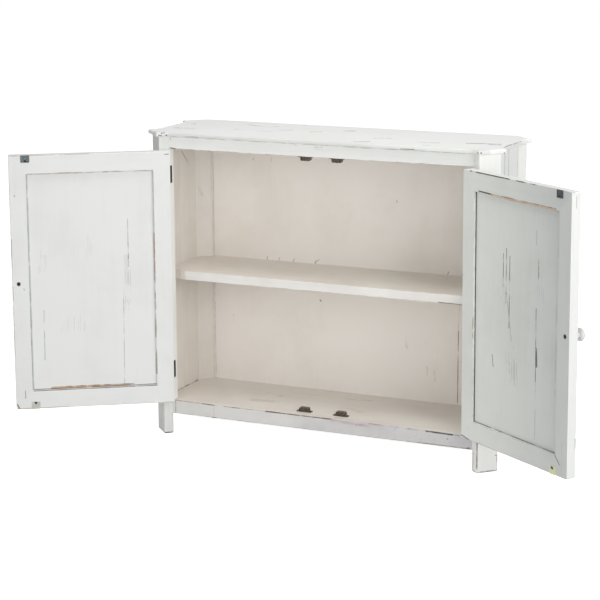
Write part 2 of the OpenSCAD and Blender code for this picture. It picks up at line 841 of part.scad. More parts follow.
// Magnetic catches, drawn standing on Z = 0 with the front at Y = 0 and the middle at X = 0
module catch_housing_shape() {
    wall = (catch_body_w - magnet_t * 4) / 2;
    half = catch_body_w / 2;
    chamfer = 1.5;
    front = [[-half - catch_slope, 0], [half + catch_slope, 0], [half, catch_h - chamfer],
        [half - chamfer, catch_h], [chamfer - half, catch_h], [-half, catch_h - chamfer]];
    difference() {
        union() {
            linear_extrude(catch_base_t) translate([-catch_base_w / 2, 0]) round_rect(catch_base_w, catch_d, 2);
            translate([0, catch_d, 0]) rotate([90, 0, 0]) linear_extrude(catch_d) polygon(front);
        }
        translate([-catch_body_w / 2 + wall, -1, catch_base_t])
            cube([catch_body_w - 2 * wall, catch_d - 2, magnet_t + 2 * pole_t]);
        for (s = [-1, 1]) translate([s * catch_screws / 2, catch_d / 2, catch_base_t]) mirror([0, 0, 1])
            sink(screw_r + screw_fit, head_r + screw_fit, head_h);
    }
}

// The magnet and the two pole plates that clasp it
module catch_magnet_shape() {
    wall = (catch_body_w - magnet_t * 4) / 2;
    w = catch_body_w - 2 * wall;
    for (z = [0, magnet_t + pole_t]) translate([-w / 2, 0, catch_base_t + z]) cube([w, catch_d - 3, pole_t]);
    translate([-w / 2, 1, catch_base_t + pole_t]) cube([w, catch_d - 4, magnet_t]);
}

// Puts a catch on the bottom board, or hangs it under the catch rail
module catch_place(x, top) {
    place() translate([x, catch_front, top ? upper_catch_z : floor_z]) mirror([0, 0, top ? 1 : 0]) children();
}

// Pilot holes for a catch's screws, from z upward
module catch_holes(x, z) {
    for (s = [-1, 1]) translate([x + s * catch_screws / 2, catch_front + catch_d / 2, z])
        cylinder(h = screw_l + 1, r = screw_r + screw_fit);
}

catch_places = [[-lower_catch_x, false], [lower_catch_x, false], [-upper_catch_x, true], [upper_catch_x, true]];

module catch_housing(i) {
    color(bronze) catch_place(catch_places[i][0], catch_places[i][1]) catch_housing_shape();
}

module lower_left_catch() { catch_housing(0); }
module lower_right_catch() { catch_housing(1); }
module upper_left_catch() { catch_housing(2); }
module upper_right_catch() { catch_housing(3); }

module catch_magnets() {
    color(dark_steel) for (p = catch_places) catch_place(p[0], p[1]) catch_magnet_shape();
}

module catch_screw_set() {
    color(dark_steel) for (p = catch_places, s = [-1, 1]) catch_place(p[0], p[1])
        translate([s * catch_screws / 2, catch_d / 2, catch_base_t]) mirror([0, 0, 1]) wood_screw(screw_l);
}

top_board();
front_left_post();
front_right_post();
back_left_post();
back_right_post();
front_top_rail();
front_bottom_rail();
back_top_rail();
back_bottom_rail();
catch_rail();
left_side_front_board();
left_side_back_board();
right_side_front_board();
right_side_back_board();
back_panel();
bottom_board();
shelf();
shelf_cleats();
floor_cleats();
glue_blocks();
left_door_jamb();
right_door_jamb();
left_upper_frame_leaf();
left_lower_frame_leaf();
right_upper_frame_leaf();
right_lower_frame_leaf();
left_hinge_pins();
right_hinge_pins();
left_jamb_screws();
right_jamb_screws();
lower_left_catch();
lower_right_catch();
upper_left_catch();
upper_right_catch();
catch_magnets();
catch_screw_set();
left_door_hinge_stile();
left_door_free_stile();
left_door_top_rail();
left_door_bottom_rail();
left_door_panel();
left_upper_door_leaf();
left_lower_door_leaf();
left_strike_plates();
left_door_screws();
left_knob();
left_knob_screw();
right_door_hinge_stile();
right_door_free_stile();
right_door_top_rail();
right_door_bottom_rail();
right_door_panel();
right_upper_door_leaf();
right_lower_door_leaf();
right_strike_plates();
right_door_screws();
right_knob();
right_knob_screw();
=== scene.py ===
"""A two-door cabinet in worn white paint: its finishes, its light and its camera."""
import json
import logging
import math
from dataclasses import dataclass, field, replace
from enum import Enum
from typing import Optional, Sequence

import bpy
from mathutils import Matrix, Vector


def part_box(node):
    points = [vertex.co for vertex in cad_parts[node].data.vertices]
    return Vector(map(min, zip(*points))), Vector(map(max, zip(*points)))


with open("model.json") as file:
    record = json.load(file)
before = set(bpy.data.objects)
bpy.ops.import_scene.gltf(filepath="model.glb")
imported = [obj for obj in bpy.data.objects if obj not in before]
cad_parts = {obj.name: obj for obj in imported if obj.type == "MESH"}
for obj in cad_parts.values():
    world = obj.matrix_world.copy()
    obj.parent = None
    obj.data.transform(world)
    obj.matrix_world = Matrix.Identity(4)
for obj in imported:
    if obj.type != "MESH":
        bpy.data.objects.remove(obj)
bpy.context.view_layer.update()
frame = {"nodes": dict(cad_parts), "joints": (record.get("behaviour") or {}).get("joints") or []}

log = logging.getLogger("cabinet")

Colour = tuple[float, float, float]
Place = tuple[float, ...]
Socket = bpy.types.NodeSocket

# A millimetre in metres
MM = 0.001
# The width and height of the photograph in pixels
PHOTO_SIZE = 600
# How far the faces of the front rails lie behind the front arrises of the posts, in millimetres
FACE_SET_BACK = 18.74
# The step, as a share of the whole, that scatters repeated marks evenly
GOLDEN = 0.618034

# How much a texture is squeezed along the grain
GRAIN_SQUEEZE = 0.045
# The height of a brush stroke and the reach of a rubbed arris, in metres
STROKE_DEPTH = 0.00018
ARRIS_REACH = 0.0022
# The height of the metals' unevenness, in metres
METAL_DEPTH = 0.0001
# How far a mark's line sways, in metres, and how fine its sway is, in cells per metre
MARK_SWAY = 0.0008
SWAY_SCALE = 140.0
# The values of the textures at which paint starts to look aged and fully does, and so on for the others
AGED = (0.42, 0.66)
OPEN_PORES = (0.58, 0.78)
CHIPPED_PATCH = (0.50, 0.62)
RUBBED_METAL = (0.5, 0.72)
# The cosine between the rounded surface and the flat one at which an arris starts and is full
ARRIS = (0.995, 0.93)


@dataclass(frozen=True)
class Texture:
    """A cloudy texture.

    Attributes:
        scale: How fine it is, in cells per metre.
        detail: How many finer layers it has.
        rough: How much these count.
    """

    scale: float
    detail: float
    rough: float


CLOUDS = Texture(5.5, 4, 0.6)
PATCHES = Texture(13, 4, 0.6)
GAPS = Texture(26, 4, 0.62)
STREAKS = Texture(95, 5, 0.62)
NICKS = Texture(150, 3, 0.6)
CHIPS = Texture(260, 2, 0.4)
STROKES = Texture(420, 3, 0.6)
PAINT_SKIN = Texture(900, 2, 0.5)
METAL_CLOUDS = Texture(260, 4, 0.6)
METAL_GRAIN = Texture(1500, 2, 0.5)


def srgb(red: int, green: int, blue: int) -> Colour:
    """Turns a colour of 0 to 255 a channel into the linear values that shaders take.

    Args:
        red: The red channel.
        green: The green channel.
        blue: The blue channel.

    Returns:
        The three linear channels.
    """
    def linear(channel: int) -> float:
        """One channel in linear light."""
        value = channel / 255
        return value / 12.92 if value <= 0.04045 else ((value + 0.055) / 1.055) ** 2.4
    return linear(red), linear(green), linear(blue)


class Grain(Enum):
    """The axis along which a board's grain and its brush strokes run, when the board isn't turned."""

    ALONG = "X"
    DEEP = "Y"
    UPRIGHT = "Z"


class Tone(Enum):
    """What shows where the paint is gone or soiled, and the painted shade in the doors' grooves and round the
    knob's screw.
    """

    BARE_WOOD = srgb(150, 108, 80)
    ORANGE_WOOD = srgb(196, 156, 116)
    PINK_PRIMER = srgb(186, 160, 148)
    MAUVE_PRIMER = srgb(188, 172, 176)
    DARK_BROWN = srgb(88, 66, 56)
    GREY_LINE = srgb(158, 160, 160)
    BLUE_SHADE = srgb(138, 146, 150)
    # Near-black for cracks, nail holes and screws, and also for painted shadow in the doors' grooves and
    # round the knob's screw
    CRACK_AND_SHADOW = srgb(58, 52, 48)
    SMUDGE = srgb(168, 152, 140)
    RUST = srgb(176, 146, 130)


@dataclass(frozen=True)
class Mark:
    """A scratch, a worn line, a dot or a line of painted shade, in millimetres in the space of the case or of
    a door.

    Attributes:
        tone: What shows in it.
        start: One end.
        end: The other end.
        width: Its full width.
        strength: How much of it shows, from 0 to 1.
        broken: How much of its length is interrupted, from 0 to 1.
    """

    tone: Tone
    start: Place
    end: Place
    width: float = 1.6
    strength: float = 0.8
    broken: float = 0.3


@dataclass(frozen=True)
class PlacedMark:
    """A mark with its ends in the model's own space.

    Attributes:
        mark: The mark.
        start: One end, in metres.
        end: The other end, in metres.
    """

    mark: Mark
    start: Vector
    end: Vector


class Space:
    """A space in which sizes are given in millimetres."""

    def at(self, place: Place) -> Vector:
        """The point of the model, in metres, at a place in this space.

        Args:
            place: The place's numbers.

        Returns:
            The point.
        """
        raise NotImplementedError

    def set_marks(self, marks: Sequence[Mark]) -> list[PlacedMark]:
        """Puts marks where they belong on the model.

        Args:
            marks: Marks in this space.

        Returns:
            The same marks with their ends in metres.
        """
        return [PlacedMark(m, self.at(m.start), self.at(m.end)) for m in marks]


@dataclass(frozen=True)
class CaseSpace(Space):
    """Across from the middle, back from the front arrises of the posts, and up from the floor.

    Attributes:
        front: Where the front arrises lie in the model, in metres.
    """

    front: float

    def at(self, place: Place) -> Vector:
        """See Space."""
        return Vector((place[0] * MM, place[1] * MM + self.front, place[2] * MM))


@dataclass(frozen=True)
class DoorSpace(Space):
    """In from the free edge, up from the bottom edge, and out from the inner face of an open door.

    Attributes:
        side: -1 for the left door and 1 for the right door.
        pin: The hinge's axis in the model, in metres.
        open_angle: How far the door stands open, in radians.
        free_reach: The distance of the free edge from the hinge's axis.
        inner_set: The distance of the inner face from the hinge's axis.
        bottom: The height of the bottom edge.
    """

    side: int
    pin: Vector
    open_angle: float = math.radians(146)
    free_reach: float = 441.07
    inner_set: float = 30.0
    bottom: float = 100.0

    def at(self, place: Place) -> Vector:
        """The point of the model, in metres, at a place on this door.

        Args:
            place: The way in, the way up and, where it isn't nought, the way out.

        Returns:
            The point.
        """
        out = place[2] if len(place) > 2 else 0.0
        along, off = place[0] - self.free_reach, self.inner_set + out
        turn_x, turn_y = math.cos(self.open_angle), math.sin(self.open_angle)
        x = (along * turn_x - off * turn_y) * MM
        y = (along * turn_y + off * turn_x) * MM
        return Vector((self.pin.x + self.side * x, self.pin.y + y, (self.bottom + place[1]) * MM))


class NodeTree:
    """A node tree, with short ways to add the nodes that the finishes use."""

    def __init__(self, tree: bpy.types.NodeTree) -> None:
        """Starts from a tree without nodes.

        Args:
            tree: The tree, which is cleared.
        """
        self.tree = tree
        self.tree.nodes.clear()

    def node(self, kind: str, **values: object) -> bpy.types.Node:
        """Adds a node and sets its own properties.

        Args:
            kind: The node's type.
            values: Properties of the node.

        Returns:
            The node.
        """
        made = self.tree.nodes.new(kind)
        for key, value in values.items():
            setattr(made, key, value)
        return made

    def feed(self, socket: Socket, value: object) -> None:
        """Links a socket to another, or sets it.

        Args:
            socket: The input.
            value: An output socket or a plain value.
        """
        if isinstance(value, bpy.types.NodeSocket):
            self.tree.links.new(value, socket)
        elif socket.type == "RGBA" and len(value) == 3:
            socket.default_value = (*value, 1.0)
        else:
            socket.default_value = value

    def math(self, operation: str, first: object, second: object = 0.0, clamp: bool = False) -> Socket:
        """Adds a sum, a product or the like.

        Args:
            operation: What is done with the numbers.
            first: The first number or socket.
            second: The second one.
            clamp: Whether the result is kept from 0 to 1.

        Returns:
            The result.
        """
        made = self.node("ShaderNodeMath", operation=operation, use_clamp=clamp)
        self.feed(made.inputs[0], first)
        self.feed(made.inputs[1], second)
        return made.outputs[0]

    def product(self, first: object, second: object) -> Socket:
        """The product of two numbers or sockets."""
        return self.math("MULTIPLY", first, second)

    def blend(self, first: Socket, share: float, second: Socket, other: float) -> Socket:
        """Adds up two values, each with its share.

        Args:
            first: The first value.
            share: How much of it counts.
            second: The second value.
            other: How much of that counts.

        Returns:
            The sum.
        """
        return self.math("ADD", self.product(first, share), self.product(second, other))

    def vector(self, operation: str, first: object, second: object) -> Socket:
        """Adds an operation on vectors.

        Args:
            operation: What is done with them.
            first: The first vector or socket.
            second: The second one, or the factor of a scale.

        Returns:
            The result: a number for a product or a distance, and otherwise a vector.
        """
        made = self.node("ShaderNodeVectorMath", operation=operation)
        self.feed(made.inputs[0], first)
        self.feed(made.inputs["Scale"] if operation == "SCALE" else made.inputs[1], second)
        return made.outputs["Value" if operation in ("DOT_PRODUCT", "DISTANCE") else "Vector"]

    def nudged(self, point: Socket, push: Socket, size: float) -> Socket:
        """Moves a point.

        Args:
            point: The point.
            push: Where it is moved.
            size: How far a push of 1 moves it.

        Returns:
            The moved point.
        """
        made = self.node("ShaderNodeVectorMath", operation="MULTIPLY_ADD")
        self.feed(made.inputs[0], push)
        made.inputs[1].default_value = (size, size, size)
        self.feed(made.inputs[2], point)
        return made.outputs["Vector"]

    def ramp(self, value: Socket, low: float, high: float) -> Socket:
        """Turns a value into a smooth step from 0 to 1.

        Args:
            value: The value.
            low: Where the step starts.
            high: Where it ends.

        Returns:
            The step.
        """
        made = self.node("ShaderNodeMapRange", interpolation_type="SMOOTHSTEP")
        self.feed(made.inputs["Value"], value)
        made.inputs["From Min"].default_value = low
        made.inputs["From Max"].default_value = high
        return made.outputs["Result"]

    def noise(self, place: Socket, texture: Texture) -> Socket:
        """Adds a texture.

        Args:
            place: Where it is looked up.
            texture: What it is like.

        Returns:
            Its grey value.
        """
        made = self.node("ShaderNodeTexNoise")
        self.feed(made.inputs["Vector"], place)
        made.inputs["Scale"].default_value = texture.scale
        made.inputs["Detail"].default_value = texture.detail
        made.inputs["Roughness"].default_value = texture.rough
        return made.outputs["Fac"]

    def mix(self, amount: object, first: object, second: object) -> Socket:
        """Mixes two colours.

        Args:
            amount: How much of the second shows, from 0 to 1.
            first: The first colour.
            second: The second colour.

        Returns:
            The mix.
        """
        made = self.node("ShaderNodeMix", data_type="RGBA", clamp_factor=True)
        self.feed(made.inputs["Factor"], amount)
        self.feed(made.inputs["A"], first)
        self.feed(made.inputs["B"], second)
        return made.outputs["Result"]

    def seen_by(self, *kinds: str) -> Socket:
        """Tells rays apart.

        Args:
            kinds: Kinds of ray.

        Returns:
            1 for a ray of one of these kinds, and 0 for others.
        """
        rays = self.node("ShaderNodeLightPath").outputs
        seen = rays[f"Is {kinds[0]} Ray"]
        for kind in kinds[1:]:
            seen = self.math("MAXIMUM", seen, rays[f"Is {kind} Ray"])
        return seen


class Recipe(NodeTree):
    """A material's node tree."""

    def __init__(self, name: str) -> None:
        """Starts an empty node material.

        Args:
            name: The material's name.
        """
        self.material = bpy.data.materials.new(name)
        self.material.use_nodes = True
        super().__init__(self.material.node_tree)

    def place(self) -> Socket:
        """The point in the piece's own space."""
        return self.node("ShaderNodeTexCoord").outputs["Object"]

    def stretched(self, point: Socket, grain: Grain, turn: float, offset: float) -> Socket:
        """Squeezes space along the grain, so that textures run with it.

        Args:
            point: The point in the piece's space.
            grain: The way the grain runs.
            turn: The angle of the board in plan, in radians.
            offset: A shift that makes each board differ.

        Returns:
            The point to look textures up at.
        """
        turned = self.node("ShaderNodeVectorRotate", rotation_type="Z_AXIS")
        self.feed(turned.inputs["Vector"], point)
        turned.inputs["Angle"].default_value = -turn
        made = self.node("ShaderNodeMapping")
        self.feed(made.inputs["Vector"], turned.outputs[0])
        made.inputs["Scale"].default_value = [GRAIN_SQUEEZE if axis == grain.value else 1.0 for axis in "XYZ"]
        made.inputs["Location"].default_value = (offset, offset * 1.7, offset * 0.6)
        return made.outputs[0]

    def bump(self, height: Socket, depth: float) -> Socket:
        """Makes a surface uneven.

        Args:
            height: The height, from 0 to 1.
            depth: The height of 1 in metres.

        Returns:
            The normal.
        """
        made = self.node("ShaderNodeBump")
        made.inputs["Strength"].default_value = 1.0
        made.inputs["Distance"].default_value = depth
        self.feed(made.inputs["Height"], height)
        return made.outputs[0]

    def mark_mask(self, placed: PlacedMark, point: Socket, flicker: Socket) -> tuple[Socket, Socket]:
        """How much of a mark shows at a point.

        Args:
            placed: The mark and its ends.
            point: The point, a little shaken so that edges are ragged.
            flicker: A noise that interrupts the mark.

        Returns:
            The mask, from 0 to 1, and the point handed on to the next mark.
        """
        group = self.node("ShaderNodeGroup", node_tree=mark_group())
        self.feed(group.inputs["Point"], point)
        self.feed(group.inputs["Flicker"], flicker)
        group.inputs["Start"].default_value = placed.start
        group.inputs["End"].default_value = placed.end
        group.inputs["Half width"].default_value = placed.mark.width * MM / 2
        group.inputs["Broken"].default_value = placed.mark.broken
        group.inputs["Strength"].default_value = placed.mark.strength
        return group.outputs["Mask"], group.outputs["Next point"]

    def marks_over(self, colour: Socket, point: Socket, marks: Sequence[PlacedMark]) -> tuple[Socket, object]:
        """Lays marks over a colour.

        Args:
            colour: The colour under them.
            point: The point in the piece's space.
            marks: The marks.

        Returns:
            The colour, and a mask of where the marks are.
        """
        covered: object = 0.0
        if not marks:
            return colour, covered
        shaken = self.node("ShaderNodeTexNoise")
        self.feed(shaken.inputs["Vector"], point)
        shaken.inputs["Scale"].default_value = SWAY_SCALE
        middle = (0.5, 0.5, 0.5)
        here = self.nudged(point, self.vector("SUBTRACT", shaken.outputs["Color"], middle), MARK_SWAY)
        flicker = self.noise(point, GAPS)
        for placed in marks:
            mask, here = self.mark_mask(placed, here, flicker)
            colour = self.mix(mask, colour, placed.mark.tone.value)
            covered = self.math("MAXIMUM", covered, mask)
        return colour, covered

    def finish(self, colour: Socket, roughness: Socket, normal: Socket,
               **values: float) -> bpy.types.Material:
        """Adds the surface shader and the output.

        Args:
            colour: The base colour.
            roughness: The roughness.
            normal: The uneven surface's normal.
            values: Other sockets of the shader, with an underscore for each space.

        Returns:
            The material.
        """
        shader = self.node("ShaderNodeBsdfPrincipled")
        self.feed(shader.inputs["Base Color"], colour)
        self.feed(shader.inputs["Roughness"], roughness)
        self.feed(shader.inputs["Normal"], normal)
        for key, value in values.items():
            shader.inputs[key.replace("_", " ")].default_value = value
        output = self.node("ShaderNodeOutputMaterial")
        self.tree.links.new(shader.outputs[0], output.inputs["Surface"])
        return self.material


def mark_group() -> bpy.types.NodeTree:
    """The node group that measures how far a point is from a mark's line.

    It hands the point on through a sum with a very small number, so that the marks of a long row are worked
    out one after another: worked out side by side, they take more room than a shader has.

    Returns:
        The group, made at the first call.
    """
    name = "worn_mark"
    if name in bpy.data.node_groups:
        return bpy.data.node_groups[name]
    group = NodeTree(bpy.data.node_groups.new(name, "ShaderNodeTree"))
    vectors, numbers = ("Point", "Start", "End"), ("Half width", "Flicker", "Broken", "Strength")
    for label in vectors + numbers:
        kind = "NodeSocketVector" if label in vectors else "NodeSocketFloat"
        group.tree.interface.new_socket(label, in_out="INPUT", socket_type=kind)
    group.tree.interface.new_socket("Mask", in_out="OUTPUT", socket_type="NodeSocketFloat")
    group.tree.interface.new_socket("Next point", in_out="OUTPUT", socket_type="NodeSocketVector")
    given = group.node("NodeGroupInput").outputs
    result = group.node("NodeGroupOutput").inputs

    # The distance from the nearest place on the line; a dot's line has next to no length
    dot_length, tiny_push = 1e-9, 1e-7
    along = group.vector("SUBTRACT", given["End"], given["Start"])
    reach = group.vector("SUBTRACT", given["Point"], given["Start"])
    square = group.math("ADD", group.vector("DOT_PRODUCT", along, along), dot_length)
    share = group.math("DIVIDE", group.vector("DOT_PRODUCT", reach, along), square, clamp=True)
    away = group.vector("DISTANCE", reach, group.vector("SCALE", along, share))

    # The mark is narrower and wider by turns, and its border is soft over a share of its half width
    narrowest, swell, border = 0.45, 1.2, 0.35
    ragged = group.math("ADD", group.product(given["Flicker"], swell), narrowest)
    depth = group.math("SUBTRACT", group.product(given["Half width"], ragged), away)
    inside = group.math("DIVIDE", depth, group.product(given["Half width"], border), clamp=True)

    # Gaps open where the noise is low, the more of them the more the mark is broken
    first_gap, gap_growth, gap_edge = 0.2, 0.46, 6.0
    limit = group.math("ADD", group.product(given["Broken"], gap_growth), first_gap)
    shown = group.math("MULTIPLY", group.math("SUBTRACT", given["Flicker"], limit), gap_edge, clamp=True)
    mask = group.product(group.product(inside, shown), given["Strength"])
    group.feed(result["Mask"], mask)
    group.feed(result["Next point"], group.nudged(given["Point"], mask, tiny_push))
    return group.tree


@dataclass(frozen=True)
class Coat:
    """The colours of one coat of paint.

    Attributes:
        clean: The paint where it is clean.
        aged: The paint where it is thin or soiled.
        grain: The paint in the open grain.
    """

    clean: Colour
    aged: Colour
    grain: Colour


@dataclass(frozen=True)
class Split:
    """A plane past which a board has another coat.

    Attributes:
        normal: The direction in which the other coat lies.
        distance: The plane's distance from the origin along it, in metres.
        coat: The other coat.
        fade: The length over which the first coat turns into it, in metres.
    """

    normal: Vector
    distance: float
    coat: Coat
    fade: float = 0.0006


@dataclass(frozen=True)
class Paint:
    """Old brushed paint over wood, rubbed through at the arrises.

    Attributes:
        coat: The colours.
        wood: The wood under it.
        worn_edges: How much of the arrises is rubbed through, from 0 to 1.
        grain_shows: How far the grain shows through, from 0 to 1.
        speckle: How many small chips there are, from 0 to 1.
        clouds: How much of the paint looks aged, from 0 to 1.
        streaks: How far the aged places follow the grain, from 0 to 1.
    """

    coat: Coat
    wood: Colour = srgb(150, 118, 96)
    worn_edges: float = 0.3
    grain_shows: float = 0.3
    speckle: float = 0.3
    clouds: float = 0.6
    streaks: float = 0.4

    def make(self, name: str, grain: Grain, turn: float = 0.0, offset: float = 0.0,
             marks: Sequence[PlacedMark] = (), splits: Sequence[Split] = ()) -> bpy.types.Material:
        """Makes the material of one board.

        Args:
            name: The material's name.
            grain: The way the board's grain runs.
            turn: The board's angle in plan, in radians.
            offset: A shift that makes the board differ from the others.
            marks: The scratches and worn lines on it.
            splits: Where other coats begin, the last one on top.

        Returns:
            The material.
        """
        recipe = Recipe(name)
        point = recipe.place()
        run = recipe.stretched(point, grain, turn, offset)
        shift = recipe.vector("ADD", point, (offset, offset, offset))
        cloud = recipe.noise(shift, CLOUDS)
        streak = recipe.noise(run, STREAKS)
        mixed = recipe.blend(cloud, 1 - self.streaks, streak, self.streaks)
        thin = recipe.product(recipe.ramp(mixed, *AGED), self.clouds)
        pores = recipe.product(recipe.ramp(streak, *OPEN_PORES), self.grain_shows)
        colour = self.coat_colour(recipe, self.coat, thin, pores)
        for split in splits:
            reach = recipe.vector("DOT_PRODUCT", point, split.normal)
            past = recipe.ramp(reach, split.distance - split.fade, split.distance)
            colour = recipe.mix(past, colour, self.coat_colour(recipe, split.coat, thin, pores))
        colour, gone = self.wear(recipe, colour, point, shift, marks)
        stroke_share, skin_share, bare_depth = 0.6, 0.25, 0.9
        skin = recipe.noise(shift, PAINT_SKIN)
        strokes = recipe.blend(recipe.noise(run, STROKES), stroke_share, skin, skin_share)
        height = recipe.math("SUBTRACT", strokes, recipe.product(gone, bare_depth))
        clean_dull, aged_dull, bare_dull = 0.5, 0.1, 0.2
        dull = recipe.math("ADD", recipe.product(cloud, aged_dull), clean_dull)
        roughness = recipe.math("ADD", recipe.product(gone, bare_dull), dull)
        return recipe.finish(colour, roughness, recipe.bump(height, STROKE_DEPTH), Specular_IOR_Level=0.3)

    def coat_colour(self, recipe: Recipe, coat: Coat, thin: Socket, pores: Socket) -> Socket:
        """The colour of a coat with its thin places and its open grain.

        Args:
            recipe: The material's node tree.
            coat: The coat.
            thin: How thin it is.
            pores: How open the grain is.

        Returns:
            The colour.
        """
        return recipe.mix(pores, recipe.mix(thin, coat.clean, coat.aged), coat.grain)

    def wear(self, recipe: Recipe, colour: Socket, point: Socket, shift: Socket,
             marks: Sequence[PlacedMark]) -> tuple[Socket, Socket]:
        """Adds rubbed arrises, small chips and the board's own marks.

        Args:
            recipe: The material's node tree.
            colour: The paint's colour.
            point: The point in the board's space.
            shift: The same point, moved so that boards differ.
            marks: The marks on the board.

        Returns:
            The colour, and a mask of where the paint is gone.
        """
        rounded = recipe.node("ShaderNodeBevel", samples=6)
        rounded.inputs["Radius"].default_value = ARRIS_REACH
        plain = recipe.node("ShaderNodeNewGeometry").outputs["Normal"]
        edge = recipe.ramp(recipe.vector("DOT_PRODUCT", rounded.outputs[0], plain), *ARRIS)
        patches = recipe.noise(shift, PATCHES)
        ragged = recipe.blend(patches, 0.6, recipe.noise(shift, NICKS), 0.4)
        least_rubbed, rubbed_range, border = 0.66, 0.18, 0.035
        limit = least_rubbed - rubbed_range * self.worn_edges
        bare = recipe.product(edge, recipe.ramp(ragged, limit, limit + border))
        first_chip, chip_range, full_chip = 0.80, 0.06, 0.83
        small = recipe.ramp(recipe.noise(shift, CHIPS), first_chip - chip_range * self.speckle, full_chip)
        chips = recipe.product(small, recipe.ramp(patches, *CHIPPED_PATCH))
        bare_shows, chips_show = 0.8, 0.6
        colour = recipe.mix(recipe.product(bare, bare_shows), colour, self.wood)
        colour = recipe.mix(recipe.product(chips, chips_show), colour, Tone.GREY_LINE.value)
        gone = recipe.math("MAXIMUM", bare, chips)
        colour, marked = recipe.marks_over(colour, point, marks)
        return colour, recipe.math("MAXIMUM", gone, marked)


@dataclass(frozen=True)
class DarkMetal:
    """Old bronzed or blackened metal with a rubbed shine.

    Attributes:
        colour: The dark of the finish.
        rubbed: The metal where it is rubbed, which on the bronze is partly a painted highlight.
        shine: How much of it is rubbed, from 0 to 1.
        metallic: How metallic it is, from 0 to 1.
        roughness: Its mean roughness.
    """

    colour: Colour
    rubbed: Colour
    shine: float = 0.3
    metallic: float = 0.7
    roughness: float = 0.45

    def make(self, name: str, marks: Sequence[PlacedMark] = (), lower: Optional["DarkMetal"] = None,
             height: float = 0.0) -> bpy.types.Material:
        """Makes the metal.

        Args:
            name: The material's name.
            marks: Dots and scratches on it.
            lower: The finish of what lies lower down, where it differs.
            height: The height below which that finish holds, in metres.

        Returns:
            The material.
        """
        recipe = Recipe(name)
        point = recipe.place()
        cloud = recipe.noise(point, METAL_CLOUDS)
        fine = recipe.noise(point, METAL_GRAIN)
        spread = recipe.ramp(cloud, *RUBBED_METAL)
        colour = recipe.mix(recipe.product(spread, self.shine), self.colour, self.rubbed)
        if lower is not None:
            other = recipe.mix(recipe.product(spread, lower.shine), lower.colour, lower.rubbed)
            split = recipe.node("ShaderNodeSeparateXYZ")
            recipe.feed(split.inputs[0], point)
            colour = recipe.mix(recipe.math("LESS_THAN", split.outputs["Z"], height), colour, other)
        colour = recipe.marks_over(colour, point, marks)[0]
        dull_range = 0.2
        rough = recipe.math("ADD", recipe.product(fine, dull_range), self.roughness - dull_range / 2)
        uneven = recipe.bump(recipe.blend(cloud, 0.7, fine, 0.3), METAL_DEPTH)
        return recipe.finish(colour, rough, uneven, Metallic=self.metallic)


WHITE = Coat(srgb(244, 245, 242), srgb(237, 237, 233), srgb(224, 222, 216))
DOOR_WHITE = Coat(srgb(230, 231, 229), srgb(222, 223, 220), srgb(208, 208, 204))
RAIL_WHITE = Coat(srgb(220, 219, 216), srgb(204, 202, 202), srgb(182, 180, 182))
# The bottom rail's darker right half: partly soil, partly a painted shadow of the right door
SOILED_AND_SHADED_RAIL = Coat(srgb(200, 198, 199), srgb(188, 184, 187), srgb(168, 164, 168))
SHADED_POST = Coat(srgb(229, 230, 227), srgb(218, 219, 216), srgb(202, 202, 198))
# The right door's inner face is painted in shade: lighter at the hinge side, darker at the free side
SHADED_HINGE_SIDE = Coat(srgb(223, 225, 221), srgb(213, 215, 211), srgb(197, 199, 195))
SHADED_FREE_SIDE = Coat(srgb(193, 195, 192), srgb(183, 185, 182), srgb(166, 168, 165))
# A greyer copy of the white for the doors' edges: painted shade that tones down the strongly lit edges
DIMMED_EDGE_WHITE = Coat(srgb(229, 230, 227), srgb(225, 225, 222), srgb(212, 211, 207))
# The knob's paint is greyer than the white: painted shade standing in for the shading round the knob
SHADED_KNOB_WHITE = Coat(srgb(222, 224, 222), srgb(202, 204, 202), srgb(180, 182, 180))
# A greyer copy of the white: painted shade on the top's rounded front and on the right of the top rail
PAINTED_SHADE_WHITE = Coat(srgb(228, 229, 226), srgb(218, 219, 215), srgb(206, 205, 200))
CREAM_WALL = Coat(srgb(230, 225, 218), srgb(221, 213, 204), srgb(206, 194, 182))
CREAM_BACK = Coat(srgb(246, 241, 235), srgb(238, 231, 223), srgb(225, 216, 206))
CREAM_SHELF = Coat(srgb(235, 229, 220), srgb(225, 216, 205), srgb(211, 199, 185))
CREAM_FLOOR = Coat(srgb(230, 225, 218), srgb(221, 213, 204), srgb(207, 195, 183))
PALE_EDGE = Coat(srgb(237, 235, 231), srgb(224, 220, 214), srgb(207, 200, 190))
RAW_WOOD = Coat(srgb(200, 182, 156), srgb(184, 162, 134), srgb(160, 134, 106))

OUTSIDE = Paint(WHITE)
SIDE_BOARD = Paint(WHITE, grain_shows=0.15, streaks=0.2)
LEFT_POST = Paint(SHADED_POST)
LEFT_DOOR = Paint(DOOR_WHITE, worn_edges=0.2, speckle=0.4, grain_shows=0.12, streaks=0.2)
# The right door's paint starts from the painted shade of its hinge side
SHADED_RIGHT_DOOR = Paint(SHADED_HINGE_SIDE, worn_edges=0.2, speckle=0.4, grain_shows=0.15, streaks=0.25)
# Strong clouds on the knob add to its painted shade
SHADED_KNOB = Paint(SHADED_KNOB_WHITE, worn_edges=0.4, clouds=0.9)
LOW_RAIL = Paint(RAIL_WHITE, worn_edges=0.5, grain_shows=0.15, speckle=1.0, clouds=0.9, streaks=0.1)
WALL = Paint(CREAM_WALL, worn_edges=0.1, grain_shows=0.1, streaks=0.15)
BACK = Paint(CREAM_BACK, worn_edges=0.1, grain_shows=0.1, clouds=0.6, streaks=0.12)
SHELF = Paint(CREAM_SHELF, worn_edges=0.2, grain_shows=0.25, streaks=0.25)
FLOOR = Paint(CREAM_FLOOR, worn_edges=0.2, grain_shows=0.25, streaks=0.25)
HIDDEN = Paint(RAW_WOOD, worn_edges=0.0, grain_shows=0.8, speckle=0.0)
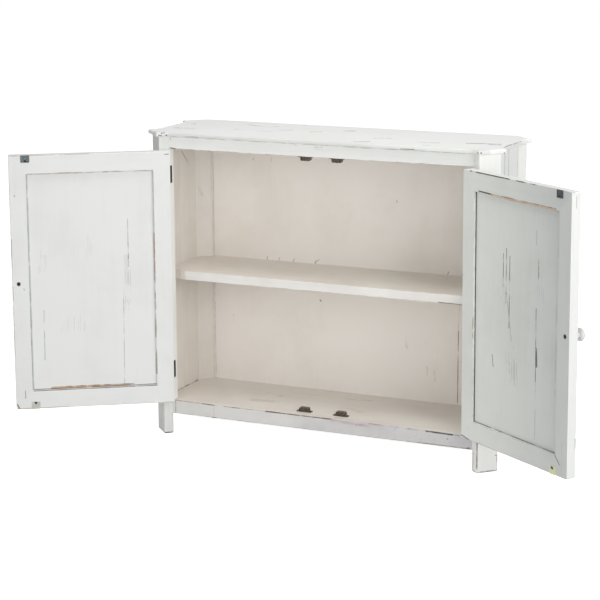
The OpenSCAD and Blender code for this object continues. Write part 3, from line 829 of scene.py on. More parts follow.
# The bronze's pale rubbed colour, over most of it, is partly real rubbing and partly a painted highlight
BRONZE = DarkMetal(srgb(72, 60, 50), srgb(172, 152, 126), shine=0.8, metallic=0.3, roughness=0.38)
BLACK_STEEL = DarkMetal(srgb(36, 32, 29), srgb(84, 76, 68), shine=0.25, metallic=0.5, roughness=0.5)
GREY_STEEL = DarkMetal(srgb(92, 90, 86), srgb(130, 128, 122), shine=0.4, metallic=0.8, roughness=0.45)
PLATE_BLUE = DarkMetal(srgb(96, 106, 110), srgb(150, 156, 156), shine=0.8, metallic=0.2, roughness=0.5)
PLATE_PALE = DarkMetal(srgb(186, 188, 180), srgb(222, 220, 208), shine=0.8, metallic=0.1, roughness=0.6)
PLATE_BLACK = DarkMetal(srgb(62, 66, 70), srgb(118, 122, 124), shine=0.6, metallic=0.2, roughness=0.5)
PLATE_YELLOW = DarkMetal(srgb(196, 200, 158), srgb(222, 222, 186), shine=0.7, metallic=0.1, roughness=0.6)


def dress(node: str, material: bpy.types.Material) -> None:
    """Gives a CAD piece its finish.

    Args:
        node: The CAD node's name.
        material: Its material.
    """
    piece = frame["nodes"][node]
    for slot in piece.material_slots:
        slot.material = material
    log.info("%s is finished in %s", node, material.name)


@dataclass
class Case:
    """The posts, rails, boards, top and shelf.

    Attributes:
        space: The space in which the case's marks are given.
        tilt: The angle of the posts' wide faces in plan, in radians.
        post_tip: Half the distance between the front arrises of the posts.
        post_depth: The thickness of a post.
        case_depth: The depth from the front arrises to the back arrises.
        wall: The distance of the walls' inner faces from the middle.
        floor_z: The height of the bottom board's upper face.
        shelf_front: The distance of the shelf's front behind the front arrises.
        nose_back: How far the top's rounded front reaches behind the front arrises.
        opening: The distance between the jambs.
        skin: How deep the coat of a post's or the shelf's face reaches.
        wall_skin: How deep the coat of a wall's inner face reaches.
        rail_skin: How deep the coat of the bottom rail's upper face reaches.
        soiled_and_shaded_share: The length over which the bottom rail turns darker towards the right, partly
            soil and partly a painted shadow of the right door, as a share of half the opening.
    """

    space: CaseSpace
    tilt: float = math.radians(45)
    post_tip: float = 465.81
    post_depth: float = 26.5
    case_depth: float = 295.0
    wall: float = 481.81
    floor_z: float = 98.0
    shelf_front: float = 48.74
    nose_back: float = 12.9
    opening: float = 887.14
    skin: float = 0.4
    wall_skin: float = 0.3
    rail_skin: float = 0.1
    soiled_and_shaded_share: float = 1.3

    def build(self) -> None:
        """Dresses every piece of the case."""
        self.dress_top()
        self.dress_posts()
        self.dress_rails()
        self.dress_sides()
        self.dress_inside()

    def dress_top(self) -> None:
        """The top board, with its scratches, the worn lines on its ears and a painted shade on its rounded
        front.
        """
        marks = self.space.set_marks(top_marks())
        front = self.space.at((0.0, self.nose_back, 0.0)).y
        # The rounded front is painted greyer: painted shade that damps the top light's highlight on it
        nose_shade = Split(Vector((0, -1, 0)), -front, PAINTED_SHADE_WHITE)
        dress("top_board", OUTSIDE.make("worn_top", Grain.ALONG, offset=0.3, marks=marks, splits=(nose_shade,)))

    def post_split(self, side: int, back: bool) -> Split:
        """The plane of a post's inner face, behind which it is washed.

        Args:
            side: -1 for a left post and 1 for a right one.
            back: Whether it is a back post.

        Returns:
            The split between white and cream.
        """
        depth = -1 if back else 1
        normal = Vector((-side, depth, 0)).normalized()
        tip = self.space.at((side * self.post_tip, self.case_depth if back else 0.0, 0.0))
        return Split(normal, tip.dot(normal) + (self.post_depth - self.skin) * MM, CREAM_WALL)

    def dress_posts(self) -> None:
        """The four corner posts."""
        marks = {"front_left_post": left_post_marks(), "front_right_post": right_post_marks(),
                 "back_left_post": back_post_marks()}
        for index, (back, side) in enumerate(((False, -1), (False, 1), (True, -1), (True, 1))):
            name = f"{'back' if back else 'front'}_{'left' if side < 0 else 'right'}_post"
            turn = self.tilt * side * (-1 if back else 1)
            placed = self.space.set_marks(marks.get(name, []))
            paint = SIDE_BOARD if back else LEFT_POST if side < 0 else OUTSIDE
            inner = self.post_split(side, back)
            dress(name, paint.make("worn_" + name, Grain.UPRIGHT, turn, 1.1 + 0.7 * index, placed, (inner,)))

    def dress_rails(self) -> None:
        """The rails and jambs round the opening, and the rails inside."""
        to_right = Vector((1, 0, 0))
        half = self.opening / 2 * MM
        # The top rail turns greyer towards the right: painted shade against the right-hand lamps
        shade_to_right = Split(to_right, half, PAINTED_SHADE_WHITE, 2 * half)
        dress("front_top_rail", OUTSIDE.make("worn_fascia", Grain.ALONG, offset=2.3,
                                             marks=self.space.set_marks(fascia_marks()), splits=(shade_to_right,)))
        # The bottom rail darkens towards the right: partly soil, partly a painted shadow of the right door
        soiled = Split(to_right, half, SOILED_AND_SHADED_RAIL, self.soiled_and_shaded_share * half)
        above = Split(Vector((0, 0, 1)), (self.floor_z - self.rail_skin) * MM, CREAM_FLOOR)
        dress("front_bottom_rail", LOW_RAIL.make("worn_low_rail", Grain.ALONG, offset=3.3,
                                                 marks=self.space.set_marks(low_rail_marks()),
                                                 splits=(soiled, above)))
        for side in ("left", "right"):
            dress(f"{side}_door_jamb", OUTSIDE.make(f"worn_{side}_jamb", Grain.UPRIGHT, offset=4.4))
        for name in ("back_top_rail", "back_bottom_rail", "catch_rail"):
            dress(name, WALL.make("washed_" + name, Grain.ALONG, offset=5.2))

    def dress_sides(self) -> None:
        """The side boards: white outside, and cream where they face the inside."""
        for index, (side, part) in enumerate(((-1, "front"), (-1, "back"), (1, "front"), (1, "back"))):
            name = f"{'left' if side < 0 else 'right'}_side_{part}_board"
            inner = Split(Vector((-side, 0, 0)), -(self.wall + self.wall_skin) * MM, CREAM_WALL)
            marks = self.space.set_marks(left_wall_marks() if side < 0 else right_side_marks())
            dress(name, SIDE_BOARD.make("worn_" + name, Grain.UPRIGHT, offset=6.1 + index, marks=marks,
                                        splits=(inner,)))

    def dress_inside(self) -> None:
        """The back, the bottom, the shelf and their cleats."""
        front = self.space.at((0.0, self.shelf_front + self.skin, 0.0)).y
        edge = Split(Vector((0, -1, 0)), -front, PALE_EDGE)
        boards = (("back_panel", BACK, "washed_back", Grain.UPRIGHT, 7.3, back_marks(), ()),
                  ("bottom_board", FLOOR, "washed_bottom", Grain.ALONG, 8.2, floor_marks(), ()),
                  ("shelf", SHELF, "washed_shelf", Grain.ALONG, 9.4, shelf_marks(), (edge,)))
        for node, paint, name, grain, offset, marks, splits in boards:
            placed = self.space.set_marks(marks)
            dress(node, paint.make(name, grain, offset=offset, marks=placed, splits=splits))
        for name in ("shelf_cleats", "floor_cleats", "glue_blocks"):
            dress(name, HIDDEN.make("plain_" + name, Grain.DEEP, offset=10.5))


@dataclass
class Door:
    """One door with its knob, its hinge leaves and its strike plates.

    Attributes:
        side: -1 for the left door and 1 for the right door.
        pin: The hinge's axis in the model, in metres.
        paint: The paint of its inner face, which on the right door is a painted shade.
        free_edge_shade: What that paint turns into towards the free edge: on the right door a darker painted
            shade, on the left door the same coat.
        upper_plate: The finish of its upper strike plate.
        lower_plate: The finish of its lower strike plate.
        plate_screws: Where the strike plates' screws sit.
        frame_marks: Marks on the stiles and rails.
        panel_marks: Marks on the panel.
        face_skin: How deep the inner face's own paint reaches, in millimetres, so that on the right door the
            painted shade also covers the groove walls.
        edge_skin: How deep the edges' paint reaches.
        width: The door's width.
        height: Its height.
        knob_screw: Where the knob's screw sits.
        screw_shadow_dot: The width of the dark dot round it, a painted shadow of its countersink.
        plate_dot: The width of the dark dot round a plate's screw.
        plate_middle: A height between the two strike plates, in metres.
    """

    side: int
    pin: Vector
    paint: Paint
    free_edge_shade: Coat
    upper_plate: DarkMetal
    lower_plate: DarkMetal
    plate_screws: tuple[tuple[float, float], ...]
    frame_marks: list[Mark] = field(default_factory=list)
    panel_marks: list[Mark] = field(default_factory=list)
    face_skin: float = 10.5
    edge_skin: float = 0.4
    width: float = 439.57
    height: float = 711.0
    knob_screw: Place = (17.5, 355.5)
    screw_shadow_dot: float = 13.5
    plate_dot: float = 10.0
    plate_middle: float = 0.45

    def build(self) -> None:
        """Dresses the door's pieces."""
        name = "left" if self.side < 0 else "right"
        space = DoorSpace(self.side, self.pin)
        turn = -self.side * (math.pi - space.open_angle)
        # A dark dot round the knob's screw: painted shadow of its countersink
        screw = Mark(Tone.CRACK_AND_SHADOW, self.knob_screw, self.knob_screw, self.screw_shadow_dot, 1.0, 0.0)
        frame_marks = space.set_marks([screw] + self.frame_marks)
        panel_marks = space.set_marks(self.panel_marks)
        parts = (("hinge_stile", Grain.UPRIGHT), ("free_stile", Grain.UPRIGHT), ("top_rail", Grain.ALONG),
                 ("bottom_rail", Grain.ALONG), ("panel", Grain.UPRIGHT))
        for index, (part, grain) in enumerate(parts):
            node = f"{name}_door_{part}"
            marks = panel_marks if part == "panel" else frame_marks
            offset = 11.3 + 1.3 * index + 9 * (self.side > 0)
            splits = self.face_splits(space, part)
            dress(node, self.paint.make("worn_" + node, grain, turn, offset, marks, splits))
        dress(name + "_knob", SHADED_KNOB.make(name + "_knob_painted_shade", Grain.UPRIGHT, turn, 3.3))
        for part in ("upper_door_leaf", "lower_door_leaf", "door_screws", "knob_screw"):
            dress(f"{name}_{part}", BLACK_STEEL.make(f"{name}_{part}_steel"))
        dots = space.set_marks([Mark(Tone.CRACK_AND_SHADOW, (x, y, 1.0), (x, y, 1.4), self.plate_dot, 1.0, 0.0)
                                for x, y in self.plate_screws])
        dress(name + "_strike_plates",
              self.upper_plate.make(name + "_plate_metal", dots, self.lower_plate, self.plate_middle))

    def face_splits(self, space: DoorSpace, part: str) -> tuple[Split, ...]:
        """The coats of a door's piece: its inner face's, which on the right door darkens towards the free
        edge as painted shade, its outer face's and its outer edge's.

        Args:
            space: The door's space.
            part: The piece.

        Returns:
            The splits.
        """
        def past(start: Place, end: Place, coat: Coat) -> Split:
            """The coat that begins at one place.

            Args:
                start: The place.
                end: A place in the direction in which the coat lies.
                coat: The coat.

            Returns:
                The split.
            """
            first, last = space.at(start), space.at(end)
            normal = (last - first).normalized()
            return Split(normal, first.dot(normal), coat)

        # On the right door the inner face's coat darkens from the hinge side to the free edge: painted shade
        across = replace(past((0.0, 0.0), (-1.0, 0.0), self.free_edge_shade), fade=self.width * MM)
        outer = past((0.0, 0.0, -self.face_skin), (0.0, 0.0, -self.face_skin - 1.0), WHITE)
        skin = self.edge_skin
        edges = {"free_stile": ((skin, 0.0), (-1.0, 0.0)),
                 "hinge_stile": ((self.width - skin, 0.0), (self.width, 0.0)),
                 "top_rail": ((0.0, self.height - skin), (0.0, self.height)),
                 "bottom_rail": ((0.0, skin), (0.0, 0.0))}
        edge = (past(*edges[part], DIMMED_EDGE_WHITE),) if part in edges else ()
        return (across, outer, *edge)


@dataclass
class Ironwork:
    """The hinge leaves on the case, the pins, the screws and the catches.

    Attributes:
        hinge_pieces: The pieces of blackened steel.
        catches: The bronzed catches.
    """

    hinge_pieces: tuple[str, ...] = (
        "left_upper_frame_leaf", "left_lower_frame_leaf", "right_upper_frame_leaf", "right_lower_frame_leaf",
        "left_hinge_pins", "right_hinge_pins", "left_jamb_screws", "right_jamb_screws", "catch_screw_set")
    catches: tuple[str, ...] = (
        "lower_left_catch", "lower_right_catch", "upper_left_catch", "upper_right_catch")

    def build(self) -> None:
        """Dresses the metal pieces."""
        steel = BLACK_STEEL.make("blackened_steel")
        for name in self.hinge_pieces:
            dress(name, steel)
        bronze = BRONZE.make("bronzed_catch")
        for name in self.catches:
            dress(name, bronze)
        dress("catch_magnets", GREY_STEEL.make("magnet_steel"))


@dataclass(frozen=True)
class Lamp:
    """A round soft lamp that points at the cabinet.

    Attributes:
        name: Its name.
        place: Where it hangs, in metres.
        power: Its power in watts.
        size: Its diameter in metres.
    """

    name: str
    place: tuple[float, float, float]
    power: float
    size: float = 1.4


LAMP_AIM = Vector((0.0, 0.0, 0.45))
SKY_STRENGTH = 0.35
LAMPS = (
    Lamp("top_light", (0.0, -0.4, 2.8), 22.6),
    Lamp("wide_right_light", (3.0, -2.0, 1.2), 17.6),
    Lamp("near_right_light", (1.8, -1.0, 1.6), 11.5),
    Lamp("front_light", (0.0, -2.6, 1.6), 6.7),
    Lamp("low_front_light", (0.0, -2.4, 0.6), 3.8),
    Lamp("low_right_light", (1.3, -2.0, 0.6), 4.1),
    Lamp("camera_light", (1.3, -2.4, 1.6), 2.1),
    Lamp("rear_light", (0.0, 3.5, 2.5), 15.0),
)


@dataclass
class Studio:
    """The floor, the light and the camera.

    Attributes:
        plan_line: Where the front arrises of the posts lie in the model, in metres.
        camera_place: The camera, in metres from the middle of the line of the front arrises.
        yaw: How far the camera is turned to the left of the depth, in degrees.
        pitch: How far it looks down, in degrees.
        roll: How far it leans, in degrees.
        focal_pixels: The lens, in pixels of the photograph.
        centre: The pixel that the lens points at.
        floor_glow: What is added to the floor where the camera sees it, so that it is white.
        floor_half: Half the floor's width, in metres.
        floor_drop: How far the floor lies below the feet, in metres.
        floor_grey: How much light the floor gives back.
    """

    plan_line: float
    camera_place: tuple[float, float, float] = (2.1508, -4.7212, 1.5806)
    yaw: float = 25.220
    pitch: float = 10.779
    roll: float = -0.4475
    focal_pixels: float = 1975.1
    centre: tuple[float, float] = (288.9, 240.1)
    floor_glow: float = 0.85
    floor_half: float = 14.0
    floor_drop: float = 0.0006
    floor_grey: float = 0.86

    def build(self) -> None:
        """Makes the stage."""
        bpy.context.scene.view_settings.view_transform = "Standard"
        self.make_floor()
        self.make_world()
        self.make_lamps()
        self.make_camera()

    def make_floor(self) -> None:
        """A wide pale floor that the camera sees as white where no shadow falls."""
        mesh = bpy.data.meshes.new("studio_floor")
        corners = [(x * self.floor_half, y * self.floor_half, -self.floor_drop)
                   for x, y in ((-1, -1), (1, -1), (1, 1), (-1, 1))]
        mesh.from_pydata(corners, [], [(0, 1, 2, 3)])
        floor = bpy.data.objects.new("studio_floor", mesh)
        bpy.context.scene.collection.objects.link(floor)
        recipe = Recipe("pale_floor")
        paper = recipe.node("ShaderNodeBsdfDiffuse")
        recipe.feed(paper.inputs["Color"], (self.floor_grey,) * 3)
        glow = recipe.node("ShaderNodeEmission")
        seen = recipe.seen_by("Camera", "Glossy", "Transmission")
        recipe.feed(glow.inputs["Strength"], recipe.product(seen, self.floor_glow))
        total = recipe.node("ShaderNodeAddShader")
        recipe.feed(total.inputs[0], paper.outputs[0])
        recipe.feed(total.inputs[1], glow.outputs[0])
        output = recipe.node("ShaderNodeOutputMaterial")
        recipe.feed(output.inputs["Surface"], total.outputs[0])
        mesh.materials.append(recipe.material)
        log.info("floor is made")

    def make_world(self) -> None:
        """A soft even sky, white where the camera sees it."""
        world = bpy.data.worlds.new("studio_sky")
        bpy.context.scene.world = world
        world.use_nodes = True
        sky = NodeTree(world.node_tree)
        blend = sky.node("ShaderNodeMixShader")
        sky.feed(blend.inputs[0], sky.seen_by("Camera", "Transmission"))
        for place, strength in ((1, SKY_STRENGTH), (2, 1.0)):
            light = sky.node("ShaderNodeBackground")
            sky.feed(light.inputs["Color"], (1.0, 1.0, 1.0))
            light.inputs["Strength"].default_value = strength
            sky.feed(blend.inputs[place], light.outputs[0])
        output = sky.node("ShaderNodeOutputWorld")
        sky.feed(output.inputs["Surface"], blend.outputs[0])
        log.info("sky is made")

    def make_lamps(self) -> None:
        """Soft lamps above, on both sides, in front and behind."""
        for lamp in LAMPS:
            data = bpy.data.lights.new(lamp.name, "AREA")
            data.shape, data.size, data.energy = "DISK", lamp.size, lamp.power
            holder = bpy.data.objects.new(lamp.name, data)
            holder.location = lamp.place
            holder.rotation_euler = (LAMP_AIM - holder.location).to_track_quat("-Z", "Y").to_euler()
            holder.visible_camera = False
            holder.visible_glossy = False
            bpy.context.scene.collection.objects.link(holder)
            log.info("%s gives %.1f W", lamp.name, lamp.power)

    def make_camera(self) -> None:
        """The camera of the photograph."""
        sensor = 36.0
        lens = bpy.data.cameras.new("photo_camera")
        lens.sensor_width = sensor
        lens.sensor_fit = "HORIZONTAL"
        lens.lens = self.focal_pixels / PHOTO_SIZE * sensor
        lens.shift_x = (PHOTO_SIZE / 2 - self.centre[0]) / PHOTO_SIZE
        lens.shift_y = (self.centre[1] - PHOTO_SIZE / 2) / PHOTO_SIZE
        holder = bpy.data.objects.new("photo_camera", lens)
        turn = (Matrix.Rotation(math.radians(self.yaw), 4, "Z")
                @ Matrix.Rotation(math.radians(90 - self.pitch), 4, "X")
                @ Matrix.Rotation(math.radians(self.roll), 4, "Z"))
        place = Vector(self.camera_place) + Vector((0, self.plan_line, 0))
        holder.matrix_world = Matrix.Translation(place) @ turn
        bpy.context.scene.collection.objects.link(holder)
        bpy.context.scene.camera = holder
        log.info("camera looks down %.1f degrees", self.pitch)


def scatter(index: int, step: float = 1.0) -> float:
    """A share from 0 to 1 that jumps about from one repeated mark to the next.

    Args:
        index: The mark's number.
        step: How many golden steps a mark takes.

    Returns:
        The share.
    """
    return (index * GOLDEN * step) % 1.0


def hatch(tone: Tone, low: Place, high: Place, count: int, out: float, width: float,
          strength: float) -> list[Mark]:
    """Fine upright scratches scattered over a part of a door.

    Args:
        tone: What shows in them.
        low: The corner nearest to the free edge and the bottom.
        high: The opposite corner.
        count: How many there are.
        out: How far they lie from the inner face.
        width: Their width.
        strength: How much of them shows.

    Returns:
        The scratches.
    """
    shortest, growth, lean, broken = 0.25, 0.35, 1.5, 0.42
    marks = []
    for index in range(count):
        across = low[0] + (high[0] - low[0]) * scatter(index)
        reach = (high[1] - low[1]) * (shortest + growth * scatter(index, 2.3))
        foot = low[1] + (high[1] - low[1] - reach) * scatter(index, 1.7)
        start, end = (across, foot, out), (across + lean, foot + reach, out)
        marks.append(Mark(tone, start, end, width, strength, broken))
    return marks


def top_marks() -> list[Mark]:
    """The scratches on the top and the worn lines round its ears.

    Returns:
        The top's marks.
    """
    scratches = (((-466, 95), (-458, 98), 4.5, 0.6), ((-449, 97), (-433, 103), 4.5, 0.6),
                 ((-423, 94), (-409, 99), 4.0, 0.5), ((-461, 190), (-452, 191), 4.5, 0.55),
                 ((-308, 233), (-231, 205), 6.0, 0.25), ((-299, 131), (-275, 140), 4.0, 0.35),
                 ((-228, 219), (-209, 227), 5.0, 0.35), ((-173, 160), (-141, 173), 4.0, 0.3),
                 ((-217, 120), (-185, 133), 4.0, 0.3), ((-156, 272), (-144, 277), 4.0, 0.7),
                 ((-82, 162), (-54, 173), 5.0, 0.35), ((-4, 211), (23, 222), 6.0, 0.55),
                 ((133, 107), (170, 122), 5.0, 0.45), ((108, 30), (142, 44), 5.0, 0.4),
                 ((258, 80), (322, 86), 6.0, 0.3), ((300, 32), (316, 39), 4.0, 0.4),
                 ((392, 110), (479, 125), 5.0, 0.65), ((455, 108), (484, 108), 4.0, 0.5))
    dots = ((-456, 0.4, 857), (-451, 3.3, 858.4), (-462, -4.4, 852), (-458, -1.3, 851), (-445, 5, 851.5),
            (518.7, 41.2, 850))
    top, widening, deepening = 860, 1.7, 1.5
    marks = []
    for start, end, width, depth in scratches:
        strength = min(1.0, deepening * depth)
        marks.append(Mark(Tone.BLUE_SHADE, (*start, top), (*end, top), widening * width, strength, 0.3))
    marks += [Mark(Tone.CRACK_AND_SHADOW, dot, dot, 4.6, 0.9, 0.0) for dot in dots]
    return marks + [
        Mark(Tone.CRACK_AND_SHADOW, (464, -6, 853.6), (473, -5.5, 854), 4.6, 0.9, 0.0),
        Mark(Tone.SMUDGE, (504.7, 77, 859.4), (503.5, 116, 859), 3.0, 0.9, 0.2),
        Mark(Tone.DARK_BROWN, (503.5, 116, 858.8), (504.4, 157, 857.7), 2.4, 0.8, 0.3),
        Mark(Tone.GREY_LINE, (504.4, 157, 857.7), (504.6, 222, 857.2), 3.0, 0.6, 0.35),
        Mark(Tone.BLUE_SHADE, (-516, 243, 859), (-521, 249, 857), 7.0, 0.7, 0.1),
        Mark(Tone.GREY_LINE, (-522.4, 44, 854), (-516, 38, 851), 4.0, 0.6, 0.2),
        Mark(Tone.RUST, (-398, 9.6, 849.4), (-350, 8.8, 850.6), 2.4, 0.75, 0.25),
        Mark(Tone.DARK_BROWN, (246, 9, 850.4), (284, 8.8, 851), 2.4, 0.75, 0.25),
        Mark(Tone.GREY_LINE, (-350, 8.8, 850.2), (246, 8.8, 850.2), 1.6, 0.36, 0.5),
        Mark(Tone.GREY_LINE, (284, 8.8, 851), (448, 5, 851), 1.6, 0.36, 0.5),
    ]


def fascia_marks() -> list[Mark]:
    """The rubbed lower edge of the top rail and the grey line under the top, a painted shadow of the top's
    edge.

    Returns:
        The top rail's marks.
    """
    low, face, high = 813.0, 18.9, 846.2
    return [
        Mark(Tone.RUST, (-436, face, low), (-120, face, low), 3.4, 0.85, 0.42),
        Mark(Tone.PINK_PRIMER, (-120, face, low), (250, face, low), 2.6, 0.65, 0.5),
        Mark(Tone.RUST, (230, face, low), (440, face, low - 1), 3.8, 0.85, 0.35),
        Mark(Tone.DARK_BROWN, (-440, face, low + 2), (-424, face, low), 4.0, 0.85, 0.1),
        Mark(Tone.DARK_BROWN, (300, face, low), (392, face, low), 2.0, 0.75, 0.5),
        # Painted shadow of the top's edge along its joint with the top rail
        Mark(Tone.GREY_LINE, (-436, face, high), (420, face, high), 1.8, 0.6, 0.42),
        Mark(Tone.GREY_LINE, (-440, face, 845), (-440, face, 838), 2.0, 0.7, 0.1),
        Mark(Tone.SMUDGE, (-62, face, 845), (-58, face, 841), 2.0, 0.55, 0.1),
        Mark(Tone.SMUDGE, (-4, face, 840), (20, face, 842), 2.4, 0.5, 0.35),
        Mark(Tone.GREY_LINE, (0, face, 836), (22, face, 834), 2.0, 0.4, 0.35),
    ]


def low_rail_marks() -> list[Mark]:
    """The rubbed upper edge of the bottom rail, its primer patches and its nails.

    Returns:
        The bottom rail's marks.
    """
    high, low, face = 96.2, 60.0, 18.8
    first, length, foot, rise, count = 180, 257, 64, 24, 14
    crackle = []
    for index in range(count):
        x, z = first + length * scatter(index), foot + rise * scatter(index, 2.1)
        crackle.append(Mark(Tone.GREY_LINE, (x, face, z), (x + 4, face, z + 4), 1.6, 0.5, 0.3))
    return crackle + [
        Mark(Tone.RUST, (-436, face, 97), (-318, face, 95.6), 3.2, 0.85, 0.3),
        Mark(Tone.DARK_BROWN, (-372, face, 96.6), (-318, face, 95.4), 2.0, 0.8, 0.35),
        Mark(Tone.RUST, (-318, face, 95.4), (-96, face, high), 2.6, 0.7, 0.42),
        Mark(Tone.DARK_BROWN, (-262, face, 95), (-236, face, 96), 2.4, 0.8, 0.2),
        Mark(Tone.DARK_BROWN, (-156, face, 96), (40, face, 96), 3.4, 0.85, 0.25),
        Mark(Tone.MAUVE_PRIMER, (44, face, 93), (150, face, 89), 8.0, 0.7, 0.4),
        Mark(Tone.RUST, (112, face, 88), (134, face, 90), 4.0, 0.6, 0.3),
        Mark(Tone.MAUVE_PRIMER, (150, face, 95), (320, face, 94), 4.5, 0.6, 0.42),
        Mark(Tone.DARK_BROWN, (150, face, 97), (318, face, 96), 1.8, 0.65, 0.5),
        Mark(Tone.CRACK_AND_SHADOW, (318, face, 95), (392, face, 93.6), 4.8, 0.9, 0.15),
        Mark(Tone.DARK_BROWN, (392, face, 94), (438, face, 92), 3.0, 0.75, 0.35),
        Mark(Tone.GREY_LINE, (-436, face, low), (260, face, low), 2.0, 0.6, 0.5),
        Mark(Tone.DARK_BROWN, (260, face, low + 1), (441, face, low + 1), 2.4, 0.6, 0.45),
        Mark(Tone.SMUDGE, (-317.6, face, low), (-317.6, face, high), 1.6, 0.6, 0.3),
        Mark(Tone.CRACK_AND_SHADOW, (-324, face, low), (-310, face, low), 2.6, 0.8, 0.1),
        Mark(Tone.BLUE_SHADE, (378, face, 80.6), (378, face, 80.6), 5.0, 0.9, 0.0),
        Mark(Tone.CRACK_AND_SHADOW, (434, face, 62), (441, face, 63), 3.2, 0.85, 0.0),
        Mark(Tone.CRACK_AND_SHADOW, (-439, face, 62), (-439, face, 96), 2.6, 0.7, 0.2),
    ]


def left_post_marks() -> list[Mark]:
    """The soiled foot of the left front post.

    Returns:
        The post's marks.
    """
    return [
        Mark(Tone.DARK_BROWN, (-465.8, 1, 3.5), (-449, 17.2, 2), 4.4, 0.85, 0.15),
        Mark(Tone.BLUE_SHADE, (-465.8, 1, 4), (-507, 41.5, 4), 3.6, 0.75, 0.25),
        Mark(Tone.BLUE_SHADE, (-467.6, 2, 52), (-467.8, 2, 30), 2.6, 0.8, 0.35),
        Mark(Tone.GREY_LINE, (-488, 22, 40), (-488, 22, 30), 3.0, 0.6, 0.3),
        Mark(Tone.GREY_LINE, (-500, 34, 60), (-500, 34, 20), 2.4, 0.45, 0.45),
        Mark(Tone.BLUE_SHADE, (-447.8, 18.4, 60), (-447.8, 18.2, 8), 2.2, 0.65, 0.35),
    ]


def right_post_marks() -> list[Mark]:
    """The rubbed arrises at the foot of the right front post.

    Returns:
        The post's marks.
    """
    return [
        Mark(Tone.DARK_BROWN, (467.4, 1.8, 8), (467.4, 1.8, 84), 3.2, 0.95, 0.4),
        Mark(Tone.DARK_BROWN, (466, 1.6, 4), (507, 41.5, 3.8), 3.6, 0.85, 0.3),
        Mark(Tone.DARK_BROWN, (464, 2.4, 4), (451, 15, 4.5), 3.6, 0.8, 0.25),
        Mark(Tone.BARE_WOOD, (508.6, 43, 6), (508.6, 43, 62), 3.0, 0.9, 0.42),
        Mark(Tone.RUST, (451.6, 14, 8), (451.8, 14, 64), 3.0, 0.75, 0.35),
        Mark(Tone.CRACK_AND_SHADOW, (505, 39.4, 46), (507, 41, 45), 2.6, 0.8, 0.0),
        Mark(Tone.GREY_LINE, (466.4, 1, 700), (466.4, 1, 846), 1.8, 0.45, 0.5),
    ]


def back_post_marks() -> list[Mark]:
    """The soiled arris of the left back post, and the smudges on its inner face.

    Returns:
        The post's marks.
    """
    return [
        Mark(Tone.GREY_LINE, (-448.6, 276, 110), (-448.6, 276, 806), 1.8, 0.75, 0.35),
        Mark(Tone.SMUDGE, (-477, 246, 670), (-468, 255, 646), 9.0, 0.18, 0.3),
    ]


def left_wall_marks() -> list[Mark]:
    """The smudges inside the left wall.

    Returns:
        The wall's marks.
    """
    wall = -481.8
    return [
        Mark(Tone.RUST, (wall, 162, 784), (wall, 205, 740), 6.0, 0.45, 0.2),
        Mark(Tone.DARK_BROWN, (wall, 100, 99), (wall, 236, 99), 2.6, 0.7, 0.42),
    ]


def right_side_marks() -> list[Mark]:
    """The soiled lines on the outside of the right wall.

    Returns:
        The side's marks.
    """
    face = 494.9
    return [
        Mark(Tone.BLUE_SHADE, (face, 116, 846), (face, 116, 760), 9.0, 0.35, 0.1),
        Mark(Tone.BLUE_SHADE, (face, 148, 846), (face, 148, 700), 3.4, 0.8, 0.1),
        Mark(Tone.SMUDGE, (face, 220, 840), (face, 220, 750), 4.0, 0.5, 0.35),
        Mark(Tone.GREY_LINE, (face, 132, 800), (face, 132, 700), 2.4, 0.4, 0.4),
    ]


def back_marks() -> list[Mark]:
    """The nicks, the crack and the soiled lines on the back panel.

    Returns:
        The panel's marks.
    """
    face = 284.0
    ticks = [Mark(Tone.SMUDGE, (x, face, 466), (x + 3, face, 474), 2.4, 0.8, 0.1)
             for x in (-277, -239, -193, -124, 276, 318)]
    return ticks + [
        Mark(Tone.SMUDGE, (-446.4, face, 110), (-446.4, face, 806), 1.8, 0.6, 0.3),
        Mark(Tone.DARK_BROWN, (309, face, 309), (308, face, 101), 2.4, 0.85, 0.2),
        Mark(Tone.RUST, (313, face, 420), (309, face, 309), 1.8, 0.5, 0.4),
        Mark(Tone.CRACK_AND_SHADOW, (-317, face, 757), (-317, face, 752), 2.4, 0.5, 0.0),
        Mark(Tone.SMUDGE, (-259, face, 762), (-259, face, 750), 1.6, 0.4, 0.0),
        Mark(Tone.SMUDGE, (124, face, 664), (126, face, 658), 2.4, 0.7, 0.0),
        Mark(Tone.SMUDGE, (-126, face, 468), (-112, face, 478), 2.2, 0.7, 0.1),
        Mark(Tone.CRACK_AND_SHADOW, (-110, face, 361), (-107, face, 358), 3.0, 0.8, 0.0),
        Mark(Tone.SMUDGE, (-386, face, 292), (-382, face, 268), 10.0, 0.22, 0.45),
        Mark(Tone.SMUDGE, (154, face, 290), (156, face, 246), 9.0, 0.3, 0.45),
        Mark(Tone.SMUDGE, (216, face, 200), (218, face, 172), 2.4, 0.45, 0.3),
        Mark(Tone.SMUDGE, (238, face, 190), (241, face, 160), 2.4, 0.45, 0.3),
    ]


def shelf_marks() -> list[Mark]:
    """The rubbed edges of the shelf.

    Returns:
        The shelf's marks.
    """
    face, low, high = 48.7, 440.8, 464.6
    return [
        Mark(Tone.PINK_PRIMER, (-440, face, low), (-120, face, low), 2.0, 0.6, 0.5),
        Mark(Tone.SMUDGE, (-120, face, low), (330, face, low), 1.8, 0.6, 0.45),
        Mark(Tone.DARK_BROWN, (338, face, low + 1), (424, face, low), 2.8, 0.8, 0.25),
        Mark(Tone.SMUDGE, (200, face, high), (424, face, high), 1.4, 0.5, 0.6),
        Mark(Tone.SMUDGE, (-438, 56, low), (-438, 56, high), 1.8, 0.5, 0.3),
    ]


